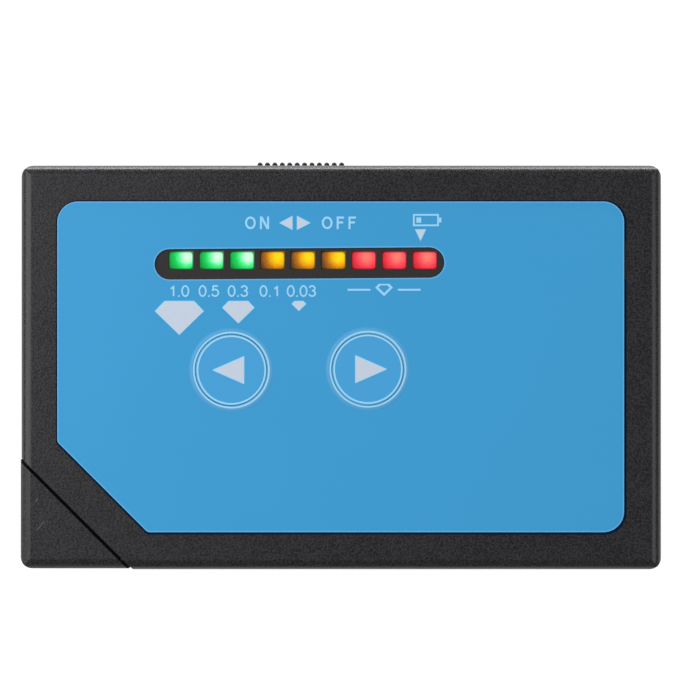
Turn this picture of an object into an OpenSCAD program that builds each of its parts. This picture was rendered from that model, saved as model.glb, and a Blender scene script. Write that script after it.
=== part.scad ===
// Pocket diamond tester: a two-shell case with a printed front film, a row of nine lamps, two keys,
// a sliding power knob, a sprung heat probe under a pull-off corner cap, and a 9 volt battery bay.
// The case lies on its back: X runs along its length, Y across its width, Z from back to front.

/* [Case] */
// Length of the case, left to right
case_l = 105; // [104:0.5:125]
// Width of the case, bottom edge to top edge
case_w = 66.3; // [65:0.1:80]
// Thickness of the case, back to front
case_t = 22; // [22:0.5:26]
// Rounding of the outer edges, front and back
edge_r = 1.7; // [0.8:0.1:1.9]
// Rounding of the four corners, seen from the front
corner_r = 2.1; // [1.7:0.1:3]
// Thickness of the side walls, floor and front panel
wall = 2; // [1.8:0.1:2.1]
// Height of the parting line above the back
split_z = 10; // [9:0.1:10.6]
// Width of the shadow gap at the parting line
parting_gap = 0.2; // [0.1:0.05:0.4]
// Height of the lip that joins the two shells
lip_h = 1.2; // [0.8:0.1:2]
// Length of the cut corner along each side
corner_leg = 18.35; // [16:0.05:20]

/* [Film] */
// Distance from the edge of the case to the film
film_margin = 6.05; // [4:0.05:7]
// Thickness of the film
film_t = 0.3; // [0.15:0.05:0.35]
// Depth of the recess that holds the film
film_recess = 0.4; // [0.4:0.05:0.6]
// Gap between the film and the side of its recess
film_gap = 0.3; // [0.1:0.05:0.5]
// How far the film is laid off the middle of its recess, sideways
film_dx = -0.1; // [-0.1:0.02:0.1]
// How far the film is laid off the middle of its recess, upwards
film_dy = 0.1; // [-0.1:0.02:0.1]
// Corner radius of the film
film_r = 3.4; // [2:0.1:6]
// Distance from the cut corner to the film
film_corner_margin = 6.05; // [4.5:0.05:8]
// Rounding where the film's cut corner starts and ends
film_cut_r = 1; // [0.5:0.1:3]
// Distance from the end lamps to the ends of the slot in the film
slot_end = 1.8; // [1.2:0.05:2.5]
// Distance from the lamps to the long sides of that slot
slot_side = 1.1; // [0.7:0.05:1.5]
// Sideways offset of the slot from the lamp row
slot_dx = -0.55; // [-1:0.05:1]
// Upward offset of the slot from the lamp row
slot_dy = -0.55; // [-1:0.05:1]
// Turn of the slot against the lamp row, in degrees
slot_turn = 0.4; // [-1:0.1:1]

/* [Lamps] */
// Distance between lamps
lamp_pitch = 5; // [4.9:0.05:5.2]
// Length of a lamp's face
lamp_l = 3.9; // [3.2:0.05:4]
// Height of a lamp's face
lamp_w = 2.8; // [2:0.05:3]
// Distance from the middle of the controls to the battery bay's rib
controls_to_bay = 18.6; // [18:0.1:22]
// Middle of the lamp row from the middle of the controls, along X
lamp_row_x = -6.3; // [-10:0.1:-6]
// Middle of the lamp row from the middle of the case, along Y
lamp_row_y = 17.6; // [16:0.1:18.5]
// Depth of a lamp's face below its window
lamp_sink = 0.5; // [0.2:0.05:1.2]
// Clearance round a lamp in its window
window_gap = 0.1; // [0.05:0.05:0.2]

/* [Keys] */
// Radius of a key's face
key_r = 5.8; // [5:0.05:6.2]
// Running clearance between a key and the front panel
key_gap = 0.1; // [0.08:0.01:0.2]
// Width of the gap between a key and the film
key_film_gap = 0.12; // [0.1:0.01:0.5]
// Middle of the left key from the middle of the controls, along X
key_left_x = -18.1; // [-22:0.1:-16]
// Middle of the right key from the middle of the controls, along X
key_right_x = 4.3; // [3:0.1:7]
// Middle of both keys, along Y
key_y = -0.4; // [-1.5:0.1:1]
// Travel of a key when it is pressed
key_travel = 0.3; // [0.2:0.05:0.5]
// Thickness of the flange that keeps a key in the panel
key_flange_t = 0.8; // [0.6:0.1:1.2]
// Width of that flange beyond the key's face
key_flange_w = 1; // [0.6:0.1:1.2]
// Width of a key switch's square body
tact_w = 6; // [5:0.1:6.4]
// Height of a key switch's body
tact_h = 3.5; // [3:0.1:4]
// Radius of a key switch's plunger
plunger_r = 1.75; // [1:0.05:2.2]
// Height of the plunger above its body
plunger_h = 0.8; // [0.7:0.05:1.2]

/* [Power switch] */
// Number of ribs on the knob
rib_count = 12; // [8:1:14]
// Distance between ribs
rib_pitch = 1.23; // [1:0.01:1.3]
// Radius of a rib
rib_r = 0.44; // [0.3:0.01:0.45]
// Height of the ribs above the edge of the case
rib_proud = 0.8; // [0.3:0.01:1]
// Height of the knob, along Z
knob_h = 4.6; // [3.6:0.1:5]
// Travel of the knob between off and on
knob_travel = 2; // [1.5:0.1:2.5]
// Middle of the knob's travel from the middle of the controls, along X
knob_mid_x = -7.7; // [-10:0.1:-5]
// Clearance round the knob in its slot
knob_gap = 0.15; // [0.1:0.01:0.25]
// Thickness of the knob's inner flange
knob_flange_t = 1.1; // [0.8:0.1:1.4]
// Length of the slide switch
switch_l = 12; // [10:0.1:14]
// Depth of the slide switch, along Y
switch_w = 5.5; // [5:0.1:6]
// Height of the slide switch, along Z
switch_h = 4.2; // [3.8:0.1:4.6]
// Length of the switch lever, along X
lever_l = 2.6; // [2:0.1:3]
// Height of the switch lever, along Z
lever_h = 2.2; // [1.8:0.1:2.4]

/* [Probe] */
// Reach of the probe tip beyond the cut corner
probe_reach = 9; // [8:0.1:9.2]
// Radius of the probe's shank
probe_r = 0.55; // [0.4:0.05:0.8]
// Radius of the probe's tip
tip_r = 0.2; // [0.1:0.05:0.35]
// Length of the taper behind the tip
tip_l = 1.6; // [1:0.1:2.5]
// Travel of the probe when it is pressed on a stone
probe_travel = 1.2; // [0.8:0.1:1.5]
// Radius of the probe's inner collar
collar_r = 2.2; // [1.8:0.1:2.3]
// Length of the probe's inner collar
collar_l = 2; // [1.5:0.1:2.5]
// Running clearance round the probe
probe_gap = 0.1; // [0.06:0.01:0.2]
// Outer radius of the probe holder's tube
tube_r = 3.4; // [3.2:0.1:3.8]
// Length of the spring chamber in that tube
chamber_l = 10.2; // [9.5:0.1:11]
// Number of turns of the probe spring
spring_turns = 6; // [4:1:6]
// Radius of the spring's wire
wire_r = 0.2; // [0.12:0.02:0.24]

/* [Cap] */
// Width of the seam between the cap and the case
seam = 0.55; // [0.3:0.05:0.6]
// Thickness of the cap's walls
cap_wall = 1.5; // [1:0.1:1.6]
// How far the plug that carries the cap stands out
plug_l = 3; // [2:0.1:3.4]
// Clearance between the plug and the inside of the cap
plug_gap = 0.3; // [0.2:0.05:0.4]
// How far the cap sits off the middle, along its seam
cap_offset = 0.2; // [0:0.05:0.25]
// How far the cap and the door stay clear of the table
lift = 0.1; // [0.05:0.05:0.2]

/* [Battery bay] */
// Width of a 9 volt battery
battery_w = 26.5; // [26:0.1:26.8]
// Length of a 9 volt battery's jacket
battery_l = 46.4; // [45:0.1:47]
// Thickness of a 9 volt battery
battery_t = 17.5; // [16.5:0.1:17.6]
// Height of the battery's terminals
terminal_h = 2; // [1.6:0.1:2.4]
// Thickness of the snap connector, along Y
snap_t = 4.6; // [4:0.1:5]
// Length of the bay from the bottom edge of the case
bay_l = 54.2; // [53.8:0.1:56]
// Width of the tongue along each side of the door
tongue_w = 1.3; // [1:0.1:1.5]
// Clearance round the door
door_gap = 0.1; // [0.05:0.01:0.15]
// Number of grip grooves across the door
grip_count = 5; // [3:1:8]

/* [Board] */
// Thickness of the circuit board
board_t = 1.6; // [1:0.1:1.8]
// Distance from the board to the probe's end
board_clear = 0.2; // [0.2:0.1:1.5]
// Radius of the posts that carry the board
post_r = 2.2; // [1.9:0.1:2.4]

/* [Fasteners] */
// Distance from the edges of the case to its screws
boss_inset = 5.5; // [5.3:0.1:6]
// Radius of a case screw's head
head_r = 2.2; // [1.8:0.1:2.4]
// Radius of a case screw's shank
shank_r = 0.95; // [0.7:0.05:1.1]
// Length of a case screw's shank
screw_l = 9; // [7:0.5:11]
// Height of the ledge that a case screw's head seats on
ledge_z = 5; // [4:0.1:6]

/* [Hidden] */
$fn = 48;
eps = 0.01;
lamp_count = 9;
arc_steps = 10;

// Colours of the pieces
case_black = [0.16, 0.16, 0.17];
film_blue = [0.25, 0.6, 0.82];
board_green = [0.1, 0.35, 0.2];
steel = [0.75, 0.75, 0.77];
chip_black = [0.1, 0.1, 0.1];
lamp_colours = [[0.1, 0.85, 0.35], [1, 0.75, 0.1], [1, 0.25, 0.28]];

// Clearances that several pieces share: through holes, screws in their pilots, and close seats
hole_gap = 0.15;
screw_gap = 0.05;
seat_gap = 0.05;

// Faces and levels of the case
half_l = case_l / 2;
half_w = case_w / 2;
panel_in = case_t - wall;
film_floor = case_t - film_recess;
film_top = film_floor + film_t;
inner_r = 0.4;
lip_t = 0.95;
lip_gap = 0.1;
lip_inset = wall - lip_t;
far = 2 * (case_l + case_w);

// Cut corner: its middle, and the direction out of it
corner_mid = [-half_l + corner_leg / 2, -half_w + corner_leg / 2, case_t / 2];
corner_turn = 225;
film_leg = corner_leg + sqrt(2) * film_corner_margin - 2 * film_margin;

// Key stack, from the board up to the panel
key_rest_gap = 0.1;
plunger_sunk = 1.3;
plunger_gap = 0.1;
stack_h = tact_h + plunger_h;
board_top = panel_in - stack_h - key_flange_t - key_rest_gap;
board_bottom = board_top - board_t;

// Lamps on the board
slot_l = (lamp_count - 1) * lamp_pitch + lamp_l + 2 * slot_end;
slot_w = lamp_w + 2 * slot_side;
lamp_top = film_floor - lamp_sink;
lamp_foot = board_top + 1;
lamp_flange_t = 0.8;
lamp_flange_gap = 0.4;
lamp_flange_w = (lamp_pitch - lamp_l - lamp_flange_gap) / 2;
lamp_leg_r = 0.28;
lamp_leg_x = 1.27;
lamp_leg_l = 1.2;

// Battery bay and its door
bay_side = 2.4;
bay_slack = 0.4;
bay_w = battery_w + bay_slack;
bay_x1 = half_l - wall - bay_side;
bay_x0 = bay_x1 - bay_w;
bay_mid = (bay_x0 + bay_x1) / 2;
bay_y1 = -half_w + bay_l;
rib_t = 2.6;
rib_x0 = bay_x0 - rib_t;
rib_h = 15;
rib_past = 2;
rib_clear = 0.2;
rail_h = 4;
sill_t = wall / 2;
battery_end_gap = 0.3;
battery_lift = 0.15;
battery_y0 = -half_w + wall + battery_end_gap;
battery_z0 = wall + battery_lift;
battery_r = 2;
battery_mid_z = battery_z0 + battery_t / 2;
snap_gap = 0.1;
snap_y0 = battery_y0 + battery_l + snap_gap;
snap_w = 12.6;
terminals = [[-6.35, 2.9], [6.35, 4.1]];
lead_r = 0.6;
lead_y = snap_y0 + snap_t / 2;
lead_drop = 3;
lead_z = battery_mid_z - lead_drop;
lead_side = 1.1;
lead_end_side = 1.6;
lead_end_in = 1.4;
lead_notch_w = 5;
grip_l = 14;
grip_w = 0.9;
grip_depth = 0.4;
grip_pitch = 2;

// Controls, set out from the bay
controls_x = rib_x0 - controls_to_bay;
left_x = controls_x + key_left_x;
right_x = controls_x + key_right_x;
knob_x = controls_x + knob_mid_x;

// Power switch, hung under the board behind the top wall
knob_edge = 0.25;
knob_l = (rib_count - 1) * rib_pitch + 2 * rib_r + 2 * knob_edge;
knob_rest_x = knob_x + knob_travel / 2;
knob_z = board_bottom - switch_h / 2;
knob_sink = 0.1;
rib_root = max(rib_proud + knob_sink - rib_r, 0) + eps;
flange_y1 = half_w - wall - knob_gap;
flange_y0 = flange_y1 - knob_flange_t;
flange_over = knob_travel + 2 * knob_gap;
flange_rise = 1.2;
switch_back = 0.5;
switch_y1 = flange_y0 - switch_back;
switch_y0 = switch_y1 - switch_w;
switch_y = (switch_y0 + switch_y1) / 2;
lever_in = 2.4;
lever_out = 2.6;
lever_gap = 0.1;
switch_pin_r = 0.4;
switch_pin_l = 0.6;
switch_pins = [-4, 0, 4];

// Probe stack along its own axis, zero at the face of the cut corner
neck_half = 6;
holder_flange_half = 8;
holder_flange_clear = 1;
holder_flange_h = case_t / 2 - wall - holder_flange_clear;
holder_flange_t = 2;
stop_x = -5.9;
collar_x1 = stop_x - probe_gap;
collar_x0 = collar_x1 - collar_l;
chamber_r = collar_r + 2 * probe_gap;
tube_end = stop_x - chamber_l;
end_plug_l = 1.8;
end_flange_t = 1;
end_x = tube_end - end_flange_t;
end_bore_r = 0.85;
stem_r = 0.7;
stem_clear = 0.4;
stem_end = end_x + probe_travel + stem_clear;
nose_l = 2.2;
nose_r0 = 2.4;
nose_r1 = 1.2;
spring_r = 1.6;
spring_x0 = tube_end + end_plug_l + wire_r + seat_gap;
spring_x1 = collar_x0 - wire_r - seat_gap;
cap_reach = (corner_leg - 2 * cap_wall) / sqrt(2);
probe_lead_r = 0.5;
probe_lead_side = 1.7;
probe_lead_drop = 1.5;
probe_lead_run = 6;

// Circuit board, its posts and the screw bosses
board_wall_gap = 0.7;
board_rib_gap = 0.5;
board_knob_gap = 0.4;
board_x0 = -half_l + wall + board_wall_gap;
board_x1 = rib_x0 - board_rib_gap;
board_y0 = corner_mid.y + (tube_r - end_x) / sqrt(2) + board_clear;
board_y1 = flange_y0 - board_knob_gap;
boss_r = 3;
boss_clear = 0.6;
column_r = 4.2;
boss_foot = split_z - 2;
corner_boss_clear = 1.7;
bosses = [
    [-half_l + boss_inset, half_w - boss_inset],
    [rib_x0 - boss_inset, half_w - boss_inset],
    [rib_x0 - boss_inset, -half_w + boss_inset],
    [-half_l + corner_leg + boss_inset + corner_boss_clear, -half_w + boss_inset]
];
post_inset = 3.2;
post_y = 7;
posts = [
    [board_x0 + post_inset, post_y],
    [board_x1 - post_inset, post_y],
    [(left_x + right_x) / 2, board_y0 + post_inset]
];
head_h = 1.8;
head_gap = 0.4;
post_screw_r = 0.72;
post_screw_l = 4.6;
post_head_r = 1.8;
post_head_h = 1.2;
pilot_past = 1;
cross_w = 0.7;
cross_span = 1.3;

// Parts soldered to the board: where they sit, and their length, width and height
buzzer_on = 2;
buzzer_at = [controls_x + buzzer_on, post_y];
buzzer_r = 6;
buzzer_h = 7.5;
buzzer_hole_r = 1.2;
buzzer_hole_l = 1.5;
sound_ring = 3;
sound_r = 0.75;
sound_count = 6;
trimmer_back = 28;
trimmer_rise = 4.9;
trimmer_at = [controls_x - trimmer_back, lamp_row_y + trimmer_rise];
trimmer_size = [6.5, 6.5, 4];
dial_l = 4.4;
dial_depth = 0.8;
capacitor_in = 8.3;
capacitor_rise = 2.5;
capacitor_pitch = 6;
capacitors_at = [
    for (k = [0, 1])
        [board_x0 + capacitor_in, post_y + capacitor_rise + k * capacitor_pitch]
];
capacitor_r = 2.5;
capacitor_h = 7;
resistor_size = [1.6, 3, 0.6];
resistor_back = 3.7;
controller_size = [12.8, 7.5, 2.4];
controller_legs = 10;
controller_back = 7.5;
controller_drop = 7.1;
controller_at = [controls_x - controller_back, lamp_row_y - resistor_back - controller_drop];
amplifier_size = [5, 4, 1.6];
amplifier_legs = 4;
amplifier_back = 34;
amplifier_drop = 3.6;
amplifier_at = [controls_x - amplifier_back, lamp_row_y - amplifier_drop];
regulator_size = [4.6, 2.6, 1.6];
regulator_on = 11;
regulator_drop = 4.1;
regulator_at = [controls_x + regulator_on, lamp_row_y - regulator_drop];
chip_lift = 0.2;
chip_leg = [0.45, 1.2, 0.6];
chip_pitch = 1.27;

function unit(v) = v / norm(v);
function lamp_x(i) = controls_x + lamp_row_x + (i - (lamp_count - 1) / 2) * lamp_pitch;

// Points of an arc about a centre, from one angle to another
function arc(centre, r, a0, a1, steps) = [
    for (k = [0:steps])
        let (a = a0 + (a1 - a0) * k / steps)
        centre + r * [cos(a), sin(a)]
];

// One ring of points round a tube's centre line
function tube_ring(centre, along, side, r, sides) =
    let (n = unit(cross(along, side)), b = cross(along, n))
    [for (k = [0:sides - 1]) centre + r * (cos(360 * k / sides) * n + sin(360 * k / sides) * b)];

// Direction of a route at one of its points
function heading(route, i) =
    unit(route[min(i + 1, len(route) - 1)] - route[max(i - 1, 0)]);

// Rectangle with round corners, about the origin
module rounded_rect(l, w, r) {
    square([l - 2 * r, w], center = true);
    square([l, w - 2 * r], center = true);
    for (x = [-1, 1], y = [-1, 1])
        translate([x * (l / 2 - r), y * (w / 2 - r)]) circle(r);
}

// Block between two corners
module box(low, high) {
    translate(low) cube(high - low);
}

// Block of a given size, centred across and standing on its foot
module standing(size) {
    translate([-size.x / 2, -size.y / 2, 0]) cube(size);
}

// Tube along a route of points, closed at both ends
module tube(route, r, sides, side) {
    rings = len(route);
    points = [for (i = [0:rings - 1]) each tube_ring(route[i], heading(route, i), side, r, sides)];
    walls = [
        for (i = [0:rings - 2], k = [0:sides - 1])
            let (a = i * sides + k, b = i * sides + (k + 1) % sides)
            each [[a, a + sides, b + sides], [a, b + sides, b]]
    ];
    first = [for (k = [0:sides - 1]) k];
    last = [for (k = [sides - 1:-1:0]) (rings - 1) * sides + k];
    polyhedron(points, concat(walls, [first, last]));
}

// Frame of the cut corner: X points out along the probe
module corner_frame() {
    translate(corner_mid) rotate([0, 0, corner_turn]) children();
}

// Everything beyond the cut corner, starting at a distance out from its face
module beyond_corner(distance) {
    corner_frame() translate([distance, -far / 2, -far / 2]) cube(far);
}

// Solid of revolution about the probe's axis, from points of radius and distance
module turned(profile) {
    corner_frame() rotate([0, 90, 0]) rotate_extrude() polygon(profile);
}

// Outline of the case, set in from its outer face
module case_plan(inset) {
    difference() {
        rounded_rect(case_l - 2 * inset, case_w - 2 * inset, max(corner_r - inset, inner_r));
        translate([corner_mid.x, corner_mid.y]) rotate(corner_turn)
            translate([-inset, -far / 2]) square(far);
    }
}

// Block with the case's rounded outer edges, before its corner is cut
module rounded_block(z0, z1, thick = case_t) {
    intersection() {
        translate([0, 0, z0]) linear_extrude(z1 - z0) rounded_rect(case_l, case_w, corner_r);
        translate([0, 0, case_t / 2]) rotate([90, 0, 90])
            linear_extrude(far, center = true) rounded_rect(case_w, thick, edge_r);
        translate([0, 0, case_t / 2]) rotate([90, 0, 0])
            linear_extrude(far, center = true) rounded_rect(case_l, thick, edge_r);
    }
}

// The same block with its corner cut
module case_block(z0, z1) {
    difference() {
        rounded_block(z0, z1);
        beyond_corner(0);
    }
}

// Outline of the film, with one corner cut
module film_plan(grow) {
    l = half_l - film_margin + grow;
    w = half_w - film_margin + grow;
    r = film_r + grow;
    leg = film_leg + grow * (2 - sqrt(2));
    set_in = leg + film_cut_r * tan(22.5);
    polygon(concat(
        arc([l - r, -w + r], r, -90, 0, arc_steps),
        arc([l - r, w - r], r, 0, 90, arc_steps),
        arc([-l + r, w - r], r, 90, 180, arc_steps),
        arc([-l + film_cut_r, -w + set_in], film_cut_r, 180, 225, arc_steps / 2),
        arc([-l + set_in, -w + film_cut_r], film_cut_r, 225, 270, arc_steps / 2)
    ));
}

module at_keys() {
    for (x = [left_x, right_x])
        translate([x, key_y]) children();
}

module at_lamps() {
    for (i = [0:lamp_count - 1])
        translate([lamp_x(i), lamp_row_y]) children();
}

module at_bosses() {
    for (p = bosses)
        translate(p) children();
}

module at_posts() {
    for (p = posts)
        translate(p) children();
}

// Passage in the top wall for the knob, over its whole travel
module knob_slot() {
    reach = knob_l / 2 + knob_travel / 2 + knob_gap;
    rise = knob_h / 2 + knob_gap;
    box([knob_x - reach, half_w - wall - eps, knob_z - rise],
        [knob_x + reach, half_w + 1, knob_z + rise]);
}

// Opening in the cut corner's wall for the probe holder's neck
module holder_notch() {
    open = neck_half + hole_gap;
    corner_frame() box([-wall - 1, -open, -open], [1, open, open]);
}

// Ring in which the two shells join, set in from the case's outer face
module lip_ring(inset) {
    difference() {
        case_plan(inset);
        case_plan(wall);
    }
}

// Front shell: panel, side walls, screw bosses and board posts
module front_cover() {
    color(case_black) difference() {
        union() {
            difference() {
                case_block(split_z + parting_gap, case_t);
                linear_extrude(panel_in) case_plan(wall);
            }
            translate([0, 0, boss_foot]) at_bosses() cylinder(r = boss_r, h = panel_in - boss_foot + eps);
            translate([0, 0, board_top]) at_posts() cylinder(r = post_r, h = panel_in - board_top + eps);
        }
        translate([0, 0, film_floor]) linear_extrude(far) film_plan(film_gap);
        translate([0, 0, panel_in - 1]) {
            at_lamps() standing([lamp_l + 2 * window_gap, lamp_w + 2 * window_gap, wall + 2]);
            at_keys() cylinder(r = key_r + key_gap, h = wall + 2);
        }
        linear_extrude(split_z + lip_h + lip_gap) lip_ring(lip_inset - lip_gap);
        at_bosses() cylinder(r = shank_r + screw_gap, h = ledge_z + screw_l + pilot_past);
        at_posts() cylinder(r = post_screw_r + screw_gap, h = board_bottom + post_screw_l + pilot_past);
        knob_slot();
        holder_notch();
    }
}

// Channel that the door slides in, cut through the floor and the bottom wall
module door_channel() {
    groove = tongue_w + door_gap;
    box([bay_x0, -half_w - 1, -1], [bay_x1, bay_y1, wall + eps]);
    box([bay_x0 - groove, -half_w - 1, sill_t], [bay_x1 + groove, bay_y1 + groove, wall]);
}

// Openings in the floor below the buzzer: one in the middle and a ring round it
module sound_holes() {
    translate([buzzer_at.x, buzzer_at.y, -1]) {
        cylinder(r = sound_r, h = wall + 2);
        for (k = [1:sound_count])
            rotate(360 * k / sound_count) translate([sound_ring, 0]) cylinder(r = sound_r, h = wall + 2);
    }
}

// Rear shell: floor, side walls, joining lip, screw columns and battery bay
module rear_cover() {
    inner_y0 = -half_w + wall - eps;
    color(case_black) difference() {
        union() {
            difference() {
                case_block(0, split_z);
                translate([0, 0, wall]) linear_extrude(far) case_plan(wall);
            }
            translate([0, 0, split_z - 1]) linear_extrude(lip_h + 1) lip_ring(lip_inset);
            translate([0, 0, wall - eps]) at_bosses() cylinder(r = column_r, h = boss_foot - wall + eps);
            box([rib_x0, inner_y0, wall - eps], [bay_x0, bay_y1 + rib_past, split_z]);
            box([rib_x0, inner_y0 + rib_clear, wall], [bay_x0, bay_y1 + rib_past, wall + rib_h]);
            box([bay_x1, inner_y0, wall - eps], [half_l - wall + eps, bay_y1 + rib_past, wall + rail_h]);
        }
        translate([0, 0, -1]) at_bosses() cylinder(r = head_r + head_gap, h = ledge_z + 1);
        at_bosses() cylinder(r = shank_r + 3 * hole_gap, h = boss_foot + 1);
        box([rib_x0 - 1, lead_y - lead_notch_w / 2, lead_z - lead_notch_w / 2],
            [bay_x0 + 1, lead_y + lead_notch_w / 2, wall + rib_h + 1]);
        door_channel();
        sound_holes();
        knob_slot();
        holder_notch();
    }
}

// Printed film that covers the front panel
module film_overlay() {
    color(film_blue) translate([0, 0, film_floor]) linear_extrude(film_t) difference() {
        translate([film_dx, film_dy]) film_plan(0);
        translate([controls_x + lamp_row_x + slot_dx, lamp_row_y + slot_dy]) rotate(slot_turn)
            rounded_rect(slot_l, slot_w, slot_w / 2 - eps);
        at_keys() circle(key_r + key_film_gap);
    }
}

// Sliding door of the battery bay, with a tongue along three sides and grip grooves
module battery_door() {
    tongue_z = sill_t + door_gap;
    grip_y0 = -half_w + boss_inset;
    color(case_black) difference() {
        intersection() {
            case_block(lift, case_t);
            union() {
                box([bay_x0 + door_gap, -far, 0], [bay_x1 - door_gap, bay_y1 - door_gap, tongue_z + eps]);
                box([bay_x0 - tongue_w, -far, tongue_z],
                    [bay_x1 + tongue_w, bay_y1 + tongue_w, wall - door_gap]);
            }
        }
        for (k = [0:grip_count - 1])
            translate([bay_mid, grip_y0 + k * grip_pitch, -1])
                standing([grip_l, grip_w, 1 + lift + grip_depth]);
    }
}

// Pan-head screw with a cross recess, head down, its seat at zero
module pan_screw(head, height, shank, length) {
    difference() {
        union() {
            translate([0, 0, -height]) cylinder(r = head, h = height);
            cylinder(r = shank, h = length);
        }
        for (turn = [0, 90])
            rotate(turn) translate([0, 0, -height]) cube([cross_span * head, cross_w, height], center = true);
    }
}

module case_screws() {
    color(steel) translate([0, 0, ledge_z]) at_bosses() pan_screw(head_r, head_h, shank_r, screw_l);
}

module board_screws() {
    color(steel) translate([0, 0, board_bottom]) at_posts()
        pan_screw(post_head_r, post_head_h, post_screw_r, post_screw_l);
}

// Circuit board, cut away at the two upper screw bosses
module main_board() {
    drill = board_t + 2;
    cut = boss_r + boss_clear;
    color(board_green) difference() {
        box([board_x0, board_y0, board_bottom], [board_x1, board_y1, board_top]);
        translate([0, 0, board_bottom - 1]) {
            box([bosses[0].x - far, bosses[0].y - cut, 0], [bosses[0].x + cut, far, drill]);
            box([bosses[1].x - cut, bosses[1].y - cut, 0], [bosses[1].x + far, far, drill]);
            at_posts() cylinder(r = post_screw_r + 2 * hole_gap, h = drill);
            for (s = [-1, 1])
                at_lamps() translate([s * lamp_leg_x, 0]) cylinder(r = lamp_leg_r + hole_gap, h = drill);
            for (x = switch_pins)
                translate([knob_x + x, switch_y]) cylinder(r = switch_pin_r + hole_gap, h = drill);
        }
    }
}

// Square-faced lamp on two legs through the board
module led(i) {
    leg_z = board_bottom - lamp_leg_l;
    color(lamp_colours[floor(i / 3)]) translate([lamp_x(i), lamp_row_y, 0]) {
        translate([0, 0, lamp_foot]) standing([lamp_l, lamp_w, lamp_top - lamp_foot]);
        translate([0, 0, lamp_foot])
            standing([lamp_l + 2 * lamp_flange_w, lamp_w + 2 * lamp_flange_w, lamp_flange_t]);
        for (s = [-1, 1])
            translate([s * lamp_leg_x, 0, leg_z]) cylinder(r = lamp_leg_r, h = lamp_foot - leg_z + eps);
    }
}

// Key: a round face in the panel and a flange behind it
module key(x) {
    base = board_top + stack_h;
    color(film_blue) translate([x, key_y, base]) {
        cylinder(r = key_r, h = film_top - base);
        cylinder(r = key_r + key_flange_w, h = key_flange_t);
    }
}

// Square body of a key switch, with the well that its plunger moves in
module key_switch_body(x) {
    well = plunger_sunk + key_travel + plunger_gap;
    color(chip_black) translate([x, key_y, board_top]) difference() {
        standing([tact_w, tact_w, tact_h]);
        translate([0, 0, tact_h - well]) cylinder(r = plunger_r + plunger_gap, h = well + 1);
    }
}

module key_switch_plunger(x) {
    color("dimgray") translate([x, key_y, board_top + tact_h - plunger_sunk])
        cylinder(r = plunger_r, h = plunger_sunk + plunger_h);
}

// Ribbed knob of the power switch, at its off end
module power_knob() {
    flange_half = knob_l / 2 + flange_over;
    flange_h = knob_h / 2 + flange_rise;
    socket = [lever_l / 2 + lever_gap, switch_y1 + lever_out + lever_gap, lever_h / 2 + lever_gap];
    color(case_black) translate([knob_rest_x, 0, knob_z]) difference() {
        union() {
            box([-knob_l / 2, flange_y1 - eps, -knob_h / 2], [knob_l / 2, half_w - knob_sink, knob_h / 2]);
            box([-flange_half, flange_y0, -flange_h], [flange_half, flange_y1, flange_h]);
            for (k = [0:rib_count - 1])
                translate([(k - (rib_count - 1) / 2) * rib_pitch, half_w + rib_proud - rib_r, -knob_h / 2])
                    linear_extrude(knob_h) {
                        circle(rib_r);
                        translate([-rib_r, -rib_root]) square([2 * rib_r, rib_root]);
                    }
        }
        box([-socket.x, flange_y0 - 1, -socket.z], socket);
    }
}

// Slide switch under the board, with its pins through the board
module power_switch_body() {
    play = (lever_l + knob_travel) / 2 + 2 * lever_gap;
    rise = lever_h / 2 + lever_gap;
    color(steel) translate([knob_x, 0, 0]) {
        difference() {
            translate([0, switch_y, board_bottom - switch_h]) standing([switch_l, switch_w, switch_h]);
            box([-play, switch_y1 - lever_in - lever_gap, knob_z - rise],
                [play, switch_y1 + 1, knob_z + rise]);
        }
        for (x = switch_pins)
            translate([x, switch_y, board_bottom - eps])
                cylinder(r = switch_pin_r, h = board_t + switch_pin_l);
    }
}

module power_switch_lever() {
    color(chip_black) translate([knob_rest_x, 0, knob_z])
        box([-lever_l / 2, switch_y1 - lever_in, -lever_h / 2],
            [lever_l / 2, switch_y1 + lever_out, lever_h / 2]);
}

// Moulded holder: a plug for the cap, a neck in the corner wall and the spring tube
module probe_holder() {
    plug_half = cap_reach - sqrt(2) * plug_gap;
    plug_h = case_t - 2 * (cap_wall + plug_gap);
    flange_x = -wall - hole_gap;
    bore_r = probe_r + probe_gap;
    nose_x = plug_l + nose_l;
    color(case_black) difference() {
        union() {
            corner_frame() {
                translate([0, 0, -plug_h / 2]) linear_extrude(plug_h) polygon([
                    [0, -plug_half], [plug_l, plug_l - plug_half],
                    [plug_l, plug_half - plug_l], [0, plug_half]
                ]);
                box([flange_x - eps, -neck_half, -neck_half], [eps, neck_half, neck_half]);
                box([flange_x - holder_flange_t, -holder_flange_half, -holder_flange_h],
                    [flange_x, holder_flange_half, holder_flange_h]);
            }
            turned([[0, tube_end], [tube_r, tube_end], [tube_r, -wall], [0, -wall]]);
            turned([[0, 0], [nose_r0, 0], [nose_r0, plug_l], [nose_r1, nose_x], [0, nose_x]]);
        }
        turned([[0, -far], [bore_r, -far], [bore_r, far], [0, far]]);
        turned([[0, tube_end - 1], [chamber_r, tube_end - 1], [chamber_r, stop_x], [0, stop_x]]);
    }
}

// Turned metal probe: tip, shank, collar and rear stem
module probe_needle() {
    color("peru") turned([
        [0, stem_end], [stem_r, stem_end], [stem_r, collar_x0], [collar_r, collar_x0], [collar_r, collar_x1],
        [probe_r, collar_x1], [probe_r, probe_reach - tip_l], [tip_r, probe_reach], [0, probe_reach]
    ]);
}

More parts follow.
